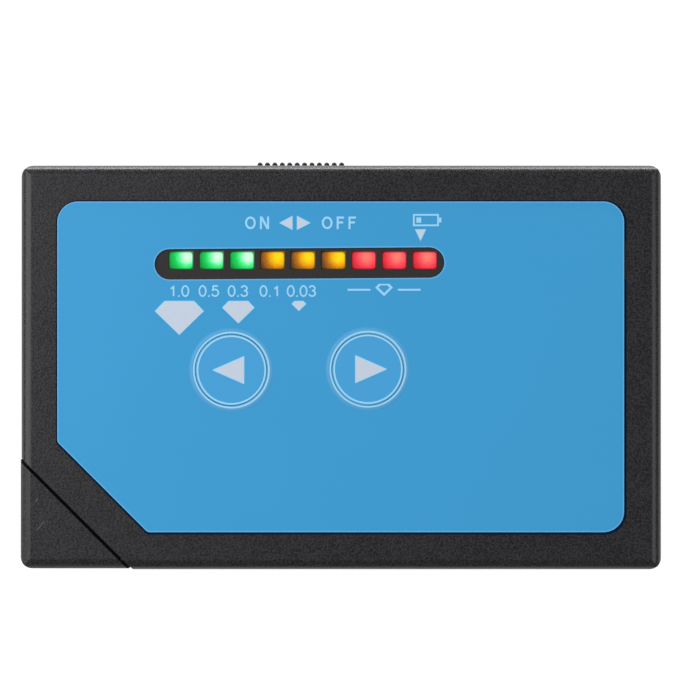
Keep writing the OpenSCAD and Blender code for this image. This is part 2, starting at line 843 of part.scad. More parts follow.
// Centre line of the probe spring, as a helix about the probe's axis
spring_steps = 12;
spring_count = spring_turns * spring_steps;
spring_route = [
    for (k = [0:spring_count])
        [spring_x0 + (spring_x1 - spring_x0) * k / spring_count,
         spring_r * cos(360 * k / spring_steps), spring_r * sin(360 * k / spring_steps)]
];
spring_gap = min([
    for (k = [0:spring_count - spring_steps]) norm(spring_route[k + spring_steps] - spring_route[k])
]) - 2 * wire_r;
echo(spring_gap = spring_gap);

module probe_spring() {
    color(steel) corner_frame() tube(spring_route, wire_r, 6, [1, 0, 0]);
}

// Plug that closes the spring chamber
module probe_end_cap() {
    plug_r = chamber_r - seat_gap;
    color("dimgray") turned([
        [end_bore_r, end_x], [tube_r, end_x], [tube_r, tube_end], [plug_r, tube_end],
        [plug_r, tube_end + end_plug_l], [end_bore_r, tube_end + end_plug_l]
    ]);
}

// Hollow cap over the cut corner
module probe_cap() {
    inside = [-half_l + cap_wall, -half_w + cap_wall, cap_wall];
    slip = cap_offset / sqrt(2);
    color(case_black) translate([-slip, slip, 0]) difference() {
        intersection() {
            rounded_block(lift, case_t - lift, case_t - 2 * lift);
            beyond_corner(seam);
        }
        box(inside, [far, far, case_t - cap_wall]);
    }
}

// Lead from the probe's end cap up to the underside of the board
module probe_lead(side, tint) {
    along = (seat_gap - end_x) / sqrt(2);
    across = side * probe_lead_side / sqrt(2);
    start = [corner_mid.x + along + across, corner_mid.y + along - across, corner_mid.z - probe_lead_drop];
    steps = probe_lead_run * [[0, 0], [0.12, 0], [0.33, -0.03], [0.67, -0.02], [0.92, 0.08], [1, 0.23]];
    last = steps[len(steps) - 1];
    color(tint) tube(concat(
        [for (s = steps) start + [s.x, s.x, s.y]],
        [[start.x + last.x, start.y + last.x, board_bottom]]
    ), probe_lead_r, 8, [1, -1, 0.2]);
}

module battery() {
    color("goldenrod") translate([bay_mid, battery_y0 + battery_l, battery_mid_z]) rotate([90, 0, 0])
        linear_extrude(battery_l) rounded_rect(battery_w, battery_t, battery_r);
}

// Stud and socket on the battery's top
module battery_terminals() {
    color(steel) for (t = terminals)
        translate([bay_mid + t[0], battery_y0 + battery_l, battery_mid_z]) rotate([-90, 0, 0])
            cylinder(r = t[1], h = terminal_h);
}

// Snap connector over both terminals
module battery_snap() {
    color(chip_black) difference() {
        box([bay_mid - battery_w / 2, snap_y0, battery_mid_z - snap_w / 2],
            [bay_mid + battery_w / 2, snap_y0 + snap_t, battery_mid_z + snap_w / 2]);
        for (t = terminals)
            translate([bay_mid + t[0], snap_y0 - 1, battery_mid_z]) rotate([-90, 0, 0])
                cylinder(r = t[1] + hole_gap, h = terminal_h + 1 + hole_gap);
    }
}

// Lead from the snap connector, through the notch in the bay's rib, to the board
module battery_lead(side, tint) {
    from = [bay_mid - battery_w / 2, lead_y + side * lead_side, lead_z];
    to = [board_x1 - lead_end_in, lead_y + side * lead_end_side, board_bottom];
    color(tint) tube([
        from, [from.x - 1, from.y, from.z], [rib_x0 + 0.4, from.y, from.z - 0.1],
        [to.x + 1, to.y, from.z + 0.3], [to.x + 0.2, to.y, from.z + 1.4], [to.x, to.y, from.z + 2.6], to
    ], lead_r, 8, [0.1, 1, 0.1]);
}

module buzzer() {
    color(chip_black) translate([buzzer_at.x, buzzer_at.y, board_bottom - buzzer_h]) difference() {
        cylinder(r = buzzer_r, h = buzzer_h);
        translate([0, 0, -1]) cylinder(r = buzzer_hole_r, h = 1 + buzzer_hole_l);
    }
}

// Chip with legs along two sides, standing on the board
module chip(at, size, legs) {
    reach = (size.y + chip_leg.y) / 2 - eps;
    translate([at.x, at.y, board_top]) {
        translate([0, 0, chip_lift]) standing(size);
        for (k = [0:legs - 1], s = [-1, 1])
            translate([(k - (legs - 1) / 2) * chip_pitch, s * reach]) standing(chip_leg);
    }
}

module controller_chip() {
    color(chip_black) chip(controller_at, controller_size, controller_legs);
}

module amplifier_chip() {
    color(chip_black) chip(amplifier_at, amplifier_size, amplifier_legs);
}

module lamp_resistors() {
    color("black") translate([0, -resistor_back, board_top]) at_lamps() standing(resistor_size);
}

module capacitors() {
    color("navy") for (p = capacitors_at)
        translate([p.x, p.y, board_bottom - capacitor_h]) cylinder(r = capacitor_r, h = capacitor_h);
}

// Trimming resistor under the board, with a cross slot for a screwdriver
module trimmer() {
    color("royalblue") translate([trimmer_at.x, trimmer_at.y, board_bottom - trimmer_size.z]) difference() {
        standing(trimmer_size);
        for (turn = [0, 90])
            rotate(turn) cube([dial_l, cross_w, 2 * dial_depth], center = true);
    }
}

module regulator() {
    color(chip_black) translate([regulator_at.x, regulator_at.y, board_bottom - regulator_size.z])
        standing(regulator_size);
}

front_cover();
rear_cover();
film_overlay();
battery_door();
case_screws();
main_board();
board_screws();
led(0);  // green_led_1
led(1);  // green_led_2
led(2);  // green_led_3
led(3);  // amber_led_1
led(4);  // amber_led_2
led(5);  // amber_led_3
led(6);  // red_led_1
led(7);  // red_led_2
led(8);  // red_led_3
key(left_x);  // left_key
key(right_x);  // right_key
key_switch_body(left_x);  // left_switch_body
key_switch_body(right_x);  // right_switch_body
key_switch_plunger(left_x);  // left_switch_plunger
key_switch_plunger(right_x);  // right_switch_plunger
power_knob();
power_switch_body();
power_switch_lever();
probe_holder();
probe_needle();
probe_spring();
probe_end_cap();
probe_cap();
probe_lead(1, "white");  // probe_lead_white
probe_lead(-1, "gold");  // probe_lead_yellow
battery();
battery_terminals();
battery_snap();
battery_lead(1, "red");  // battery_lead_red
battery_lead(-1, "black");  // battery_lead_black
buzzer();
controller_chip();
amplifier_chip();
lamp_resistors();
capacitors();
trimmer();
regulator();
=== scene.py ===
import math
from functools import partialmethod

import bmesh
import bpy
from mathutils import Matrix, Vector


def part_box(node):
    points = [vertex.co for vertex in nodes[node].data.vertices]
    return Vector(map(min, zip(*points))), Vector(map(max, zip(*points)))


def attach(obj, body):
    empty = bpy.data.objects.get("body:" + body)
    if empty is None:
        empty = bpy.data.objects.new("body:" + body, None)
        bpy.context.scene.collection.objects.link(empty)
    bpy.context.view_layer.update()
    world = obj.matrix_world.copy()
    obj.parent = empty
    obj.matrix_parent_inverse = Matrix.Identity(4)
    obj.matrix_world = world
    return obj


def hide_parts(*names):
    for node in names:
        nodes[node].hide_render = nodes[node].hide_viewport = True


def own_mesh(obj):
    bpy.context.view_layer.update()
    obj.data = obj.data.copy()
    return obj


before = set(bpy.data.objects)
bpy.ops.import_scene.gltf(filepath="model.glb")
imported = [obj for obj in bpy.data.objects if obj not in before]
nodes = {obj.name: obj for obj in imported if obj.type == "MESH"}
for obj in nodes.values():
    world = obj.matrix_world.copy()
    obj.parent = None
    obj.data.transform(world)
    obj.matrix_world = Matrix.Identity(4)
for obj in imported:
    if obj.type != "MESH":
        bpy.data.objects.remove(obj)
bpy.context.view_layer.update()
scene = bpy.context.scene
mm = 0.001
print("frame loaded,", len(nodes), "nodes")


def paint(red, green, blue):  # screen colour, 0 to 255, as linear light
    levels = [level / 255 for level in (red, green, blue)]
    linear = [level / 12.92 if level <= 0.04045 else ((level + 0.055) / 1.055) ** 2.4 for level in levels]
    return (*linear, 1)


def grey(level):
    return paint(level, level, level)


def middleOf(node):  # of a node's box, in millimetres
    return tuple((low + high) / 2 / mm for low, high in zip(*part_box(node)))


def feed(tree, plug, value):  # a link, several links, or a plain value
    if isinstance(value, Wire):
        tree.links.new(value.socket, plug)
    elif isinstance(value, list):
        for wire in value:
            tree.links.new(wire.socket, plug)
    else:
        plug.default_value = value


class Wire:  # a socket that can be used in sums
    def __init__(self, tree, socket):
        self.tree = tree
        self.socket = socket

    def also(self, out):  # another output of the same node
        return Wire(self.tree, self.socket.node.outputs[out])

    def sum(self, operation, other=0.0, swapped=False):
        step = self.tree.nodes.new("ShaderNodeMath")
        step.operation = operation
        for plug, term in zip(step.inputs, (other, self) if swapped else (self, other)):
            feed(self.tree, plug, term)
        return Wire(self.tree, step.outputs[0])

    def held(self):  # between 0 and 1
        return self.sum("MAXIMUM", 0.0).sum("MINIMUM", 1.0)

    __add__ = __radd__ = partialmethod(sum, "ADD")
    __sub__ = partialmethod(sum, "SUBTRACT")
    __rsub__ = partialmethod(sum, "SUBTRACT", swapped=True)
    __mul__ = __rmul__ = partialmethod(sum, "MULTIPLY")
    __truediv__ = partialmethod(sum, "DIVIDE")
    __rtruediv__ = partialmethod(sum, "DIVIDE", swapped=True)
    __pow__ = partialmethod(sum, "POWER")
    __gt__ = partialmethod(sum, "GREATER_THAN")
    __lt__ = partialmethod(sum, "LESS_THAN")
    __abs__ = partialmethod(sum, "ABSOLUTE")
    wrapped = partialmethod(sum, "FRACT")


class Yard:  # one node tree, for a finish or for a shape
    def __init__(self, tree):
        self.tree = tree

    def node(self, kind, settings=None, plugs=None, out=0):
        made = self.tree.nodes.new(kind)
        for key, value in (settings or {}).items():
            if key == "stops":
                ramp = made.color_ramp
                ramp.elements[0].position, ramp.elements[1].position = value[0][0], value[-1][0]
                ramp.elements[0].color, ramp.elements[1].color = value[0][1], value[-1][1]
                for place, colour in value[1:-1]:
                    ramp.elements.new(place).color = colour
            else:
                setattr(made, key, value)
        for key, value in (plugs or {}).items():
            feed(self.tree, made.inputs[key], value)
        return Wire(self.tree, made.outputs[out]) if made.outputs else None


noiseTurn = (0.4, 0.7, 0.2)  # so that no face lies along the noise's own grid


class Finish(Yard):  # a material, on the object's own coordinates
    def __init__(self, name):
        self.material = bpy.data.materials.new(name)
        self.material.use_nodes = True
        super().__init__(self.material.node_tree)
        self.tree.nodes.clear()
        self.place = self.node("ShaderNodeTexCoord", out="Object")
        self.turned = self.node("ShaderNodeMapping", plugs={"Vector": self.place, "Rotation": noiseTurn})
        split = self.node("ShaderNodeSeparateXYZ", plugs={0: self.place})
        axes = (split, split.also(1), split.also(2))
        self.x, self.y, self.z = (axis * (1 / mm) for axis in axes)  # millimetres

    def facing(self):  # the outward direction, as three wires
        normal = self.place.also("Normal")
        split = self.node("ShaderNodeSeparateXYZ", plugs={0: normal})
        return split, split.also(1), split.also(2)

    def noise(self, size, detail=2.0, roughness=0.5):  # size of a spot in millimetres
        return self.node("ShaderNodeTexNoise", plugs={
            "Vector": self.turned, "Scale": 1 / (size * mm), "Detail": detail, "Roughness": roughness})

    def streaks(self, along, across):  # noise drawn out along X
        stretched = self.node("ShaderNodeMapping", {"vector_type": "TEXTURE"}, {
            "Vector": self.place, "Scale": (along * mm, across * mm, across * mm)})
        return self.node("ShaderNodeTexNoise", plugs={"Vector": stretched, "Scale": 1.0, "Detail": 3.0})

    def stroke(self, start, stop, width):  # 1 on a straight line across the front, in millimetres
        run = (stop - start).normalized()
        aside, above = self.x - start.x, self.y - start.y
        along, across = aside * run.x + above * run.y, above * run.x - aside * run.y
        return (abs(across) < width / 2) * (along > 0.0) * (along < (stop - start).length)

    def mix(self, share, first, second):
        return self.node("ShaderNodeMix", {"data_type": "RGBA"}, {0: share, 6: first, 7: second}, 2)

    def bump(self, height, depth, strength=1.0):  # depth in millimetres
        return self.node("ShaderNodeBump", plugs={
            "Height": height, "Distance": depth * mm, "Strength": strength})

    def surface(self, sockets):
        shader = self.node("ShaderNodeBsdfPrincipled", plugs=sockets)
        self.node("ShaderNodeOutputMaterial", plugs={"Surface": shader})
        return self.material


# finishes of the case

caseLook = {
    "low": paint(8, 8, 9), "high": paint(43, 42, 47), "contrast": 4.6, "grain": 0.3, "blotch": 4.2,
    "blotchShare": 0.5, "depth": 0.03, "roughness": 0.34, "fineRough": 0.16, "blotchRough": 0.08,
    "gloss": 0.4, "flat": 0.9,
    "wornSheen": grey(40), "wornSheenShare": 0.15, "wornRough": 0.2, "filletRough": 0.14, "filletBump": 0.88,
    "steepFrom": 0.04, "steepRun": 0.2, "levelFrom": 0.995, "levelRun": 0.025,
    "slotLow": paint(26, 22, 21), "slotHigh": paint(40, 34, 33), "slotRough": 0.2, "recess": (21.3, 21.75),
    "slotHalf": 3.2, "gap": paint(5, 44, 80), "scratch": grey(120), "scratchWide": 0.12,
    "scratches": [((-49.6, -21.3), (-50.1, -22.0)), ((-48.7, -25.2), (-49.9, -26.7))],
}


def casePlastic(name, rubAndSheen, recess=False, scratched=False):  # the second argument: how much smoother the fillets are, and how far wear and a painted highlight lighten them
    finish = Finish(name)
    fine = finish.noise(caseLook["grain"], 1.5, 0.6)
    blotch = finish.noise(caseLook["blotch"], 3.0)
    speckle = (fine - 0.5) * caseLook["contrast"] + (blotch - 0.5) * caseLook["blotchShare"] + 0.5
    colour = finish.mix(speckle, caseLook["low"], caseLook["high"])
    upward = finish.facing()[2]
    steep = (abs(upward) - caseLook["steepFrom"]) / caseLook["steepRun"]
    level = (caseLook["levelFrom"] - abs(upward)) / caseLook["levelRun"]
    fillet = steep.sum("MINIMUM", level).held()  # the rounded edges
    # the fillets are lightened: partly wear, partly a painted highlight on the rounded edges
    colour = finish.mix(fillet * (caseLook["wornSheenShare"] * rubAndSheen), colour, caseLook["wornSheen"])
    rough = (fine - 0.5) * caseLook["fineRough"] + (blotch - 0.5) * caseLook["blotchRough"]
    rough = rough + caseLook["roughness"] - fillet * (caseLook["wornRough"] * rubAndSheen - caseLook["filletRough"])
    gapShadeMetal = 0.0
    if recess:  # round the lamps, and in the gap beside the film, whose floor is painted navy shade
        bottom, top = caseLook["recess"]
        floor = (finish.z > bottom) * (finish.z < top) * (upward > caseLook["flat"])
        beside = abs(finish.y - middleOf("green_led_1")[1]) > caseLook["slotHalf"]
        shade = finish.mix(blotch, caseLook["slotLow"], caseLook["slotHigh"])
        # painted shade: the gap's floor is painted dark navy, and made metallic so that its reflections
        # darken too
        colour = finish.mix(floor, colour, finish.mix(beside, shade, caseLook["gap"]))
        rough = rough + floor * caseLook["slotRough"]
        gapShadeMetal = floor * beside
    if scratched:
        for start, stop in caseLook["scratches"]:
            scratch = finish.stroke(Vector(start), Vector(stop), caseLook["scratchWide"])
            colour = finish.mix(scratch * fine, colour, caseLook["scratch"])
    height = fine * (1 - fillet * caseLook["filletBump"])
    return finish.surface({"Base Color": colour, "Roughness": rough, "Metallic": gapShadeMetal,
                           "Specular IOR Level": caseLook["gloss"],
                           "Normal": finish.bump(height, caseLook["depth"])})


filmLook = {
    "deep": paint(62, 160, 216), "light": paint(67, 166, 222), "keyDeep": paint(70, 165, 223),
    "keyLight": paint(77, 172, 229), "bulgeHighlight": paint(108, 175, 222), "keyBulgeHighlight": paint(75, 169, 226),
    "bulgeHighlightShare": 0.6, "groove": paint(56, 126, 166), "grooveHigh": paint(62, 132, 172),
    # the rim colours are a painted highlight along the film's cut edges
    "edgeHighlightDeep": paint(90, 172, 226), "rim": paint(112, 190, 240), "mottle": 22.0, "grain": 0.16,
    "grainShare": 0.4, "grainRough": 0.1, "grainDepth": 0.003, "roughness": 0.3, "gloss": 0.22,
    "riseFrom": 7.0, "riseRun": 0.6, "rise": 0.06,
    "laid": {"left_key": (0.1, -0.03), "right_key": (0.08, 0.12)},  # the print lies a little off the keys
}


def laidOn(key):  # where the middle of a key's print lies
    return [middle + shift for middle, shift in zip(middleOf(key), filmLook["laid"][key])]


def filmSheet(name, deep, light, bulgeHighlight):
    finish = Finish(name)
    cloud = finish.noise(filmLook["mottle"], 2.0)
    grain = finish.noise(filmLook["grain"], 1.0)
    colour = finish.mix(cloud * (1 - filmLook["grainShare"]) + grain * filmLook["grainShare"], deep, light)
    nearest = None
    for key in filmLook["laid"]:
        x, y = laidOn(key)
        aside, above = finish.x - x, finish.y - y
        away = (aside * aside + above * above) ** 0.5
        nearest = away.sum("MINIMUM", nearest) if nearest else away
    share = ((filmLook["riseFrom"] - nearest) / filmLook["riseRun"]).held()
    rise = share * share * (3 - share * 2)  # the film is pressed up a little over the keys
    # painted highlight: the film is tinted lighter where it bulges over the keys, the key faces too
    colour = finish.mix(rise * filmLook["bulgeHighlightShare"], colour, bulgeHighlight)
    rough = grain * filmLook["grainRough"] + (filmLook["roughness"] - filmLook["grainRough"] / 2)
    height = rise * filmLook["rise"] + grain * filmLook["grainDepth"]
    return finish.surface({"Base Color": colour, "Roughness": rough, "Specular IOR Level": filmLook["gloss"],
                           "Normal": finish.bump(height, 1.0)})


def speckled(name, look, low, high, more):  # one noise for the colour, the roughness and the bump
    finish = Finish(name)
    fine = finish.noise(look["spot"], 2.0)
    rough = (fine - 0.5) * look["spotRough"] + look["roughness"]
    return finish.surface({"Base Color": finish.mix(fine, low, high), "Roughness": rough,
                           "Normal": finish.bump(fine, look["depth"]), **more})


inkLook = {"pale": paint(200, 214, 230), "bright": paint(210, 221, 237), "finePale": paint(160, 219, 254),
           "fineBright": paint(170, 225, 255), "gloss": 0.15, "spot": 0.5, "spotRough": 0.1,
           "roughness": 0.53, "depth": 0.004}


def printInk(name, pale, bright):
    return speckled(name, inkLook, pale, bright, {"Specular IOR Level": inkLook["gloss"]})


# lamps: colours from the hot spot outwards, with the distance in millimetres
lampLook = {
    "pitch": 5.0, "long": 3.9, "high": 2.8, "corner": 0.5, "rim": 0.12, "rimShadeLevel": 0.25, "litDrop": 0.05,
    "hotY": 0.5, "reach": 3.0, "foot": 15.8, "gloss": 0.1, "grain": 0.5, "mottle": 0.16, "unlit": 0.1,
    "roughness": 0.35, "legRough": 0.4, "leg": grey(190), "dark": grey(0),
    "green": (1.0, [(0, paint(228, 255, 236)), (0.7, paint(196, 254, 216)), (1.3, paint(84, 247, 148)),
                    (2.0, paint(24, 206, 88)), (3.0, paint(26, 136, 58))]),
    "amber": (0.95, [(0, paint(255, 226, 24)), (0.7, paint(253, 210, 18)), (1.3, paint(240, 166, 14)),
                    (2.0, paint(178, 107, 21)), (2.9, paint(92, 60, 31))]),
    "red": (0.45, [(0, paint(255, 134, 108)), (0.6, paint(254, 118, 108)), (1.2, paint(250, 86, 97)),
                   (1.8, paint(240, 54, 68)), (2.7, paint(176, 38, 48))]),
}


def lampGlow(name, hotX, stops):
    finish = Finish(name)
    firstX, rowY, _ = middleOf("green_led_1")
    across = (((finish.x - firstX) / lampLook["pitch"] + 0.5).wrapped() - 0.5) * lampLook["pitch"]
    above = finish.y - rowY
    aside, over = across - hotX, above - lampLook["hotY"]
    mottle = (finish.noise(lampLook["grain"], 1.0) - 0.5) * lampLook["mottle"]  # the lens is a little cloudy
    away = (aside * aside + over * over) ** 0.5 / lampLook["reach"] + mottle
    glow = finish.node("ShaderNodeValToRGB", {
        "stops": [(spot / lampLook["reach"], colour) for spot, colour in stops]}, {"Fac": away})
    corner = lampLook["corner"]
    pastX = (abs(across) - (lampLook["long"] / 2 - corner)).sum("MAXIMUM", 0.0)
    pastY = (abs(above + lampLook["litDrop"]) - (lampLook["high"] / 2 - corner)).sum("MAXIMUM", 0.0)
    inside = (corner - (pastX * pastX + pastY * pastY) ** 0.5) / lampLook["rim"]
    unshadedShare = inside.sum("MAXIMUM", lampLook["rimShadeLevel"]).sum("MINIMUM", 1.0)  # painted shade of the window's wall: the glow dims towards the lens's rim
    leg = finish.z < lampLook["foot"]
    tint = [lampLook["unlit"] * level for level in stops[3][1][:3]]
    shine = finish.mix(unshadedShare, lampLook["dark"], glow)
    rough = leg * (lampLook["legRough"] - lampLook["roughness"]) + lampLook["roughness"]
    return finish.surface({
        "Base Color": finish.mix(leg, (*tint, 1), lampLook["leg"]), "Metallic": leg,
        "Roughness": rough, "Specular IOR Level": lampLook["gloss"],
        "Emission Color": finish.mix(leg, shine, lampLook["dark"]), "Emission Strength": 1.0})


# metals, board and leads

metalLook = {"stain": 1.8, "stainShare": 0.4, "brushRough": 0.18, "stainRough": 0.1, "depth": 0.006}


def metal(name, low, high, roughness, along=4.0, across=0.15):
    finish = Finish(name)
    brushed = finish.streaks(along, across)
    stain = finish.noise(metalLook["stain"], 3.0)
    share = brushed * (1 - metalLook["stainShare"]) + stain * metalLook["stainShare"]
    rough = (brushed - 0.5) * metalLook["brushRough"] + (stain - 0.5) * metalLook["stainRough"] + roughness
    return finish.surface({"Base Color": finish.mix(share, low, high), "Metallic": 1.0, "Roughness": rough,
                           "Normal": finish.bump(brushed, metalLook["depth"])})


mouldLook = {"broad": 12, "broadShare": 0.4, "fineRough": 0.14}


def moulded(name, low, high, roughness, grain=0.3, depth=0.01, gloss=0.5):
    finish = Finish(name)
    fine = finish.noise(grain, 2.0)
    broad = finish.noise(grain * mouldLook["broad"], 2.0)
    share = fine * (1 - mouldLook["broadShare"]) + broad * mouldLook["broadShare"]
    rough = (fine - 0.5) * mouldLook["fineRough"] + roughness
    return finish.surface({"Base Color": finish.mix(share, low, high), "Roughness": rough,
                           "Specular IOR Level": gloss, "Normal": finish.bump(fine, depth)})


vinylLook = {"spot": 0.8, "spotRough": 0.12, "roughness": 0.38, "coat": 0.15, "depth": 0.01}


def vinyl(name, low, high):
    return speckled(name, vinylLook, low, high, {"Coat Weight": vinylLook["coat"]})


boardLook = {"mask": paint(14, 78, 46), "trace": paint(28, 112, 66), "edge": paint(150, 140, 92),
             "weave": grey(120), "pitch": 1.27, "line": 0.34, "run": 7.0, "depth": 0.03, "cloth": 0.4,
             "clothDepth": 0.2, "clothRough": 0.1, "edgeRough": 0.4, "roughness": 0.3}


def boardLaminate():
    finish = Finish("boardLaminate")
    cells = finish.node("ShaderNodeTexVoronoi", {"distance": "CHEBYCHEV"}, {
        "Vector": finish.place, "Scale": 1 / (boardLook["run"] * mm)}, "Color")
    turn = finish.node("ShaderNodeSeparateColor", plugs={0: cells}) > 0.5
    pitch = boardLook["pitch"]
    rows = abs((finish.y / pitch).wrapped() - 0.5) < boardLook["line"] / 2
    columns = abs((finish.x / pitch).wrapped() - 0.5) < boardLook["line"] / 2
    traces = rows * turn + columns * (1 - turn)
    weave = finish.noise(boardLook["cloth"], 1.0)
    side = abs(finish.facing()[2]) < 0.5
    colour = finish.mix(traces, boardLook["mask"], boardLook["trace"])
    colour = finish.mix(side, colour, finish.mix(weave, boardLook["edge"], boardLook["weave"]))
    rough = side * boardLook["edgeRough"] + (weave - 0.5) * boardLook["clothRough"] + boardLook["roughness"]
    height = traces + weave * boardLook["clothDepth"]
    return finish.surface({"Base Color": colour, "Roughness": rough,
                           "Normal": finish.bump(height, boardLook["depth"])})


def blackBody(finish, look, bare):  # bare metal where the mask is 1
    speck = finish.noise(look["spot"], 1.0)
    body = finish.mix(speck, look["low"], look["high"])
    rough = (speck - 0.5) * look["spotRough"] + look["roughness"] - bare * look["bareSmooth"]
    return finish.surface({"Base Color": finish.mix(bare, body, look["bare"]), "Metallic": bare,
                           "Roughness": rough, "Normal": finish.bump(speck, look["depth"])})


chipLook = {"low": grey(26), "high": grey(40), "bare": grey(198), "spot": 0.18, "spotRough": 0.12,
            "roughness": 0.61, "bareSmooth": 0.3, "depth": 0.01}


def chipEpoxy(name, node, halfY):  # tinned legs beyond the body
    finish = Finish(name)
    return blackBody(finish, chipLook, abs(finish.y - middleOf(node)[1]) > halfY)


switchLook = {"low": grey(24), "high": grey(36), "bare": grey(188), "thick": 0.35, "spot": 0.3,
              "spotRough": 0.14, "roughness": 0.57, "bareSmooth": 0.2, "depth": 0.008}


def switchCase(name, node):  # a pressed plate over the body
    finish = Finish(name)
    return blackBody(finish, switchLook, finish.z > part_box(node)[1][2] / mm - switchLook["thick"])


sleeveLook = {"low": paint(24, 30, 62), "high": paint(32, 40, 78), "stripe": grey(176), "end": grey(182),
              "stripeFrom": 0.82, "spot": 0.5, "spotRough": 0.1, "roughness": 0.35, "coat": 0.1,
              "depth": 0.006}


def capacitorSleeve():  # stripe down one side, bare metal end
    finish = Finish("capacitorSleeve")
    aside, _, upward = finish.facing()
    fine = finish.noise(sleeveLook["spot"], 2.0)
    sleeve = finish.mix(fine, sleeveLook["low"], sleeveLook["high"])
    colour = finish.mix(aside < -sleeveLook["stripeFrom"], sleeve, sleeveLook["stripe"])
    bare = abs(upward) > 0.5
    return finish.surface({
        "Base Color": finish.mix(bare, colour, sleeveLook["end"]), "Metallic": bare,
        "Roughness": (fine - 0.5) * sleeveLook["spotRough"] + sleeveLook["roughness"],
        "Coat Weight": sleeveLook["coat"], "Normal": finish.bump(fine, sleeveLook["depth"])})


batteryLook = {"low": paint(168, 170, 174), "high": paint(190, 192, 196), "band": paint(58, 92, 116),
               "line": paint(226, 226, 222), "bandFrom": 0.52, "bandTo": 0.86, "edge": 0.015,
               "endLow": grey(30), "endHigh": grey(44), "streak": (0.2, 6.0), "streakRough": 0.15,
               "roughness": 0.375, "shine": 0.7, "coat": 0.2, "depth": 0.004}


def batteryJacket():
    finish = Finish("batteryJacket")
    low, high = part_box("battery")
    along = (finish.y - low[1] / mm) / ((high[1] - low[1]) / mm)
    brushed = finish.streaks(*batteryLook["streak"])
    inBand = (along > batteryLook["bandFrom"]) * (along < batteryLook["bandTo"])
    near = batteryLook["edge"]
    edges = (abs(along - batteryLook["bandFrom"]) < near) + (abs(along - batteryLook["bandTo"]) < near)
    colour = finish.mix(brushed, batteryLook["low"], batteryLook["high"])
    colour = finish.mix(inBand, colour, batteryLook["band"])
    colour = finish.mix(edges, colour, batteryLook["line"])
    cover = abs(finish.facing()[1]) > 0.5  # the two end plates
    colour = finish.mix(cover, colour, finish.mix(brushed, batteryLook["endLow"], batteryLook["endHigh"]))
    return finish.surface({
        "Base Color": colour, "Metallic": (1 - inBand) * (1 - cover) * batteryLook["shine"],
        "Roughness": (brushed - 0.5) * batteryLook["streakRough"] + batteryLook["roughness"],
        "Coat Weight": batteryLook["coat"], "Normal": finish.bump(brushed, batteryLook["depth"])})


probeLook = {"low": paint(176, 104, 62), "high": paint(214, 142, 96), "ring": 0.12, "ringRough": 0.15,
             "stain": 0.9, "stainRough": 0.2, "roughness": 0.24, "depth": 0.006}


def probeCopper():
    finish = Finish("probeCopper")
    along = (finish.x + finish.y) * -math.sqrt(0.5)
    turned = abs((along / probeLook["ring"]).wrapped() - 0.5)
    stain = finish.noise(probeLook["stain"], 3.0)
    rough = turned * probeLook["ringRough"] + (stain - 0.5) * probeLook["stainRough"] + probeLook["roughness"]
    return finish.surface({
        "Base Color": finish.mix(stain, probeLook["low"], probeLook["high"]), "Metallic": 1.0,
        "Roughness": rough, "Normal": finish.bump(turned, probeLook["depth"])})


print("dressing the frame")
shell = casePlastic("casePlastic", rubAndSheen=1.0, recess=True)
cap = casePlastic("capPlastic", rubAndSheen=0.0, scratched=True)
# near-black, darker than the plastic itself: partly the holder's own colour, partly painted shade of the seam
# round it
holderBlackShade = moulded("holderPlastic", grey(4), grey(10), roughness=0.6, grain=0.35, depth=0.012, gloss=0.15)
knobBlack = moulded("knobPlastic", grey(9), grey(20), roughness=0.5, grain=0.22, depth=0.012, gloss=0.3)
# the door arrow: smoother, and lighter as a painted sheen
polishedSheen = moulded("polishedPlastic", grey(52), grey(64), roughness=0.24, depth=0.002)
film = filmSheet("frontFilm", filmLook["deep"], filmLook["light"], filmLook["bulgeHighlight"])
keyFilm = filmSheet("keyFilm", filmLook["keyDeep"], filmLook["keyLight"], filmLook["keyBulgeHighlight"])
groove = printInk("grooveFilm", filmLook["groove"], filmLook["grooveHigh"])
filmRim = printInk("filmRim", filmLook["edgeHighlightDeep"], filmLook["rim"])
ink = printInk("printInk", inkLook["pale"], inkLook["bright"])
fineInk = printInk("fineInk", inkLook["finePale"], inkLook["fineBright"])
screwSteel = metal("screwSteel", grey(150), grey(205), roughness=0.34, along=1.2, across=0.2)
switchSteel = metal("switchSteel", grey(172), grey(214), roughness=0.36)
springSteel = metal("springSteel", grey(150), grey(190), roughness=0.28, along=0.6, across=0.1)
nickel = metal("terminalNickel", paint(186, 182, 170), paint(222, 218, 206), roughness=0.26, along=1.0,
               across=0.3)
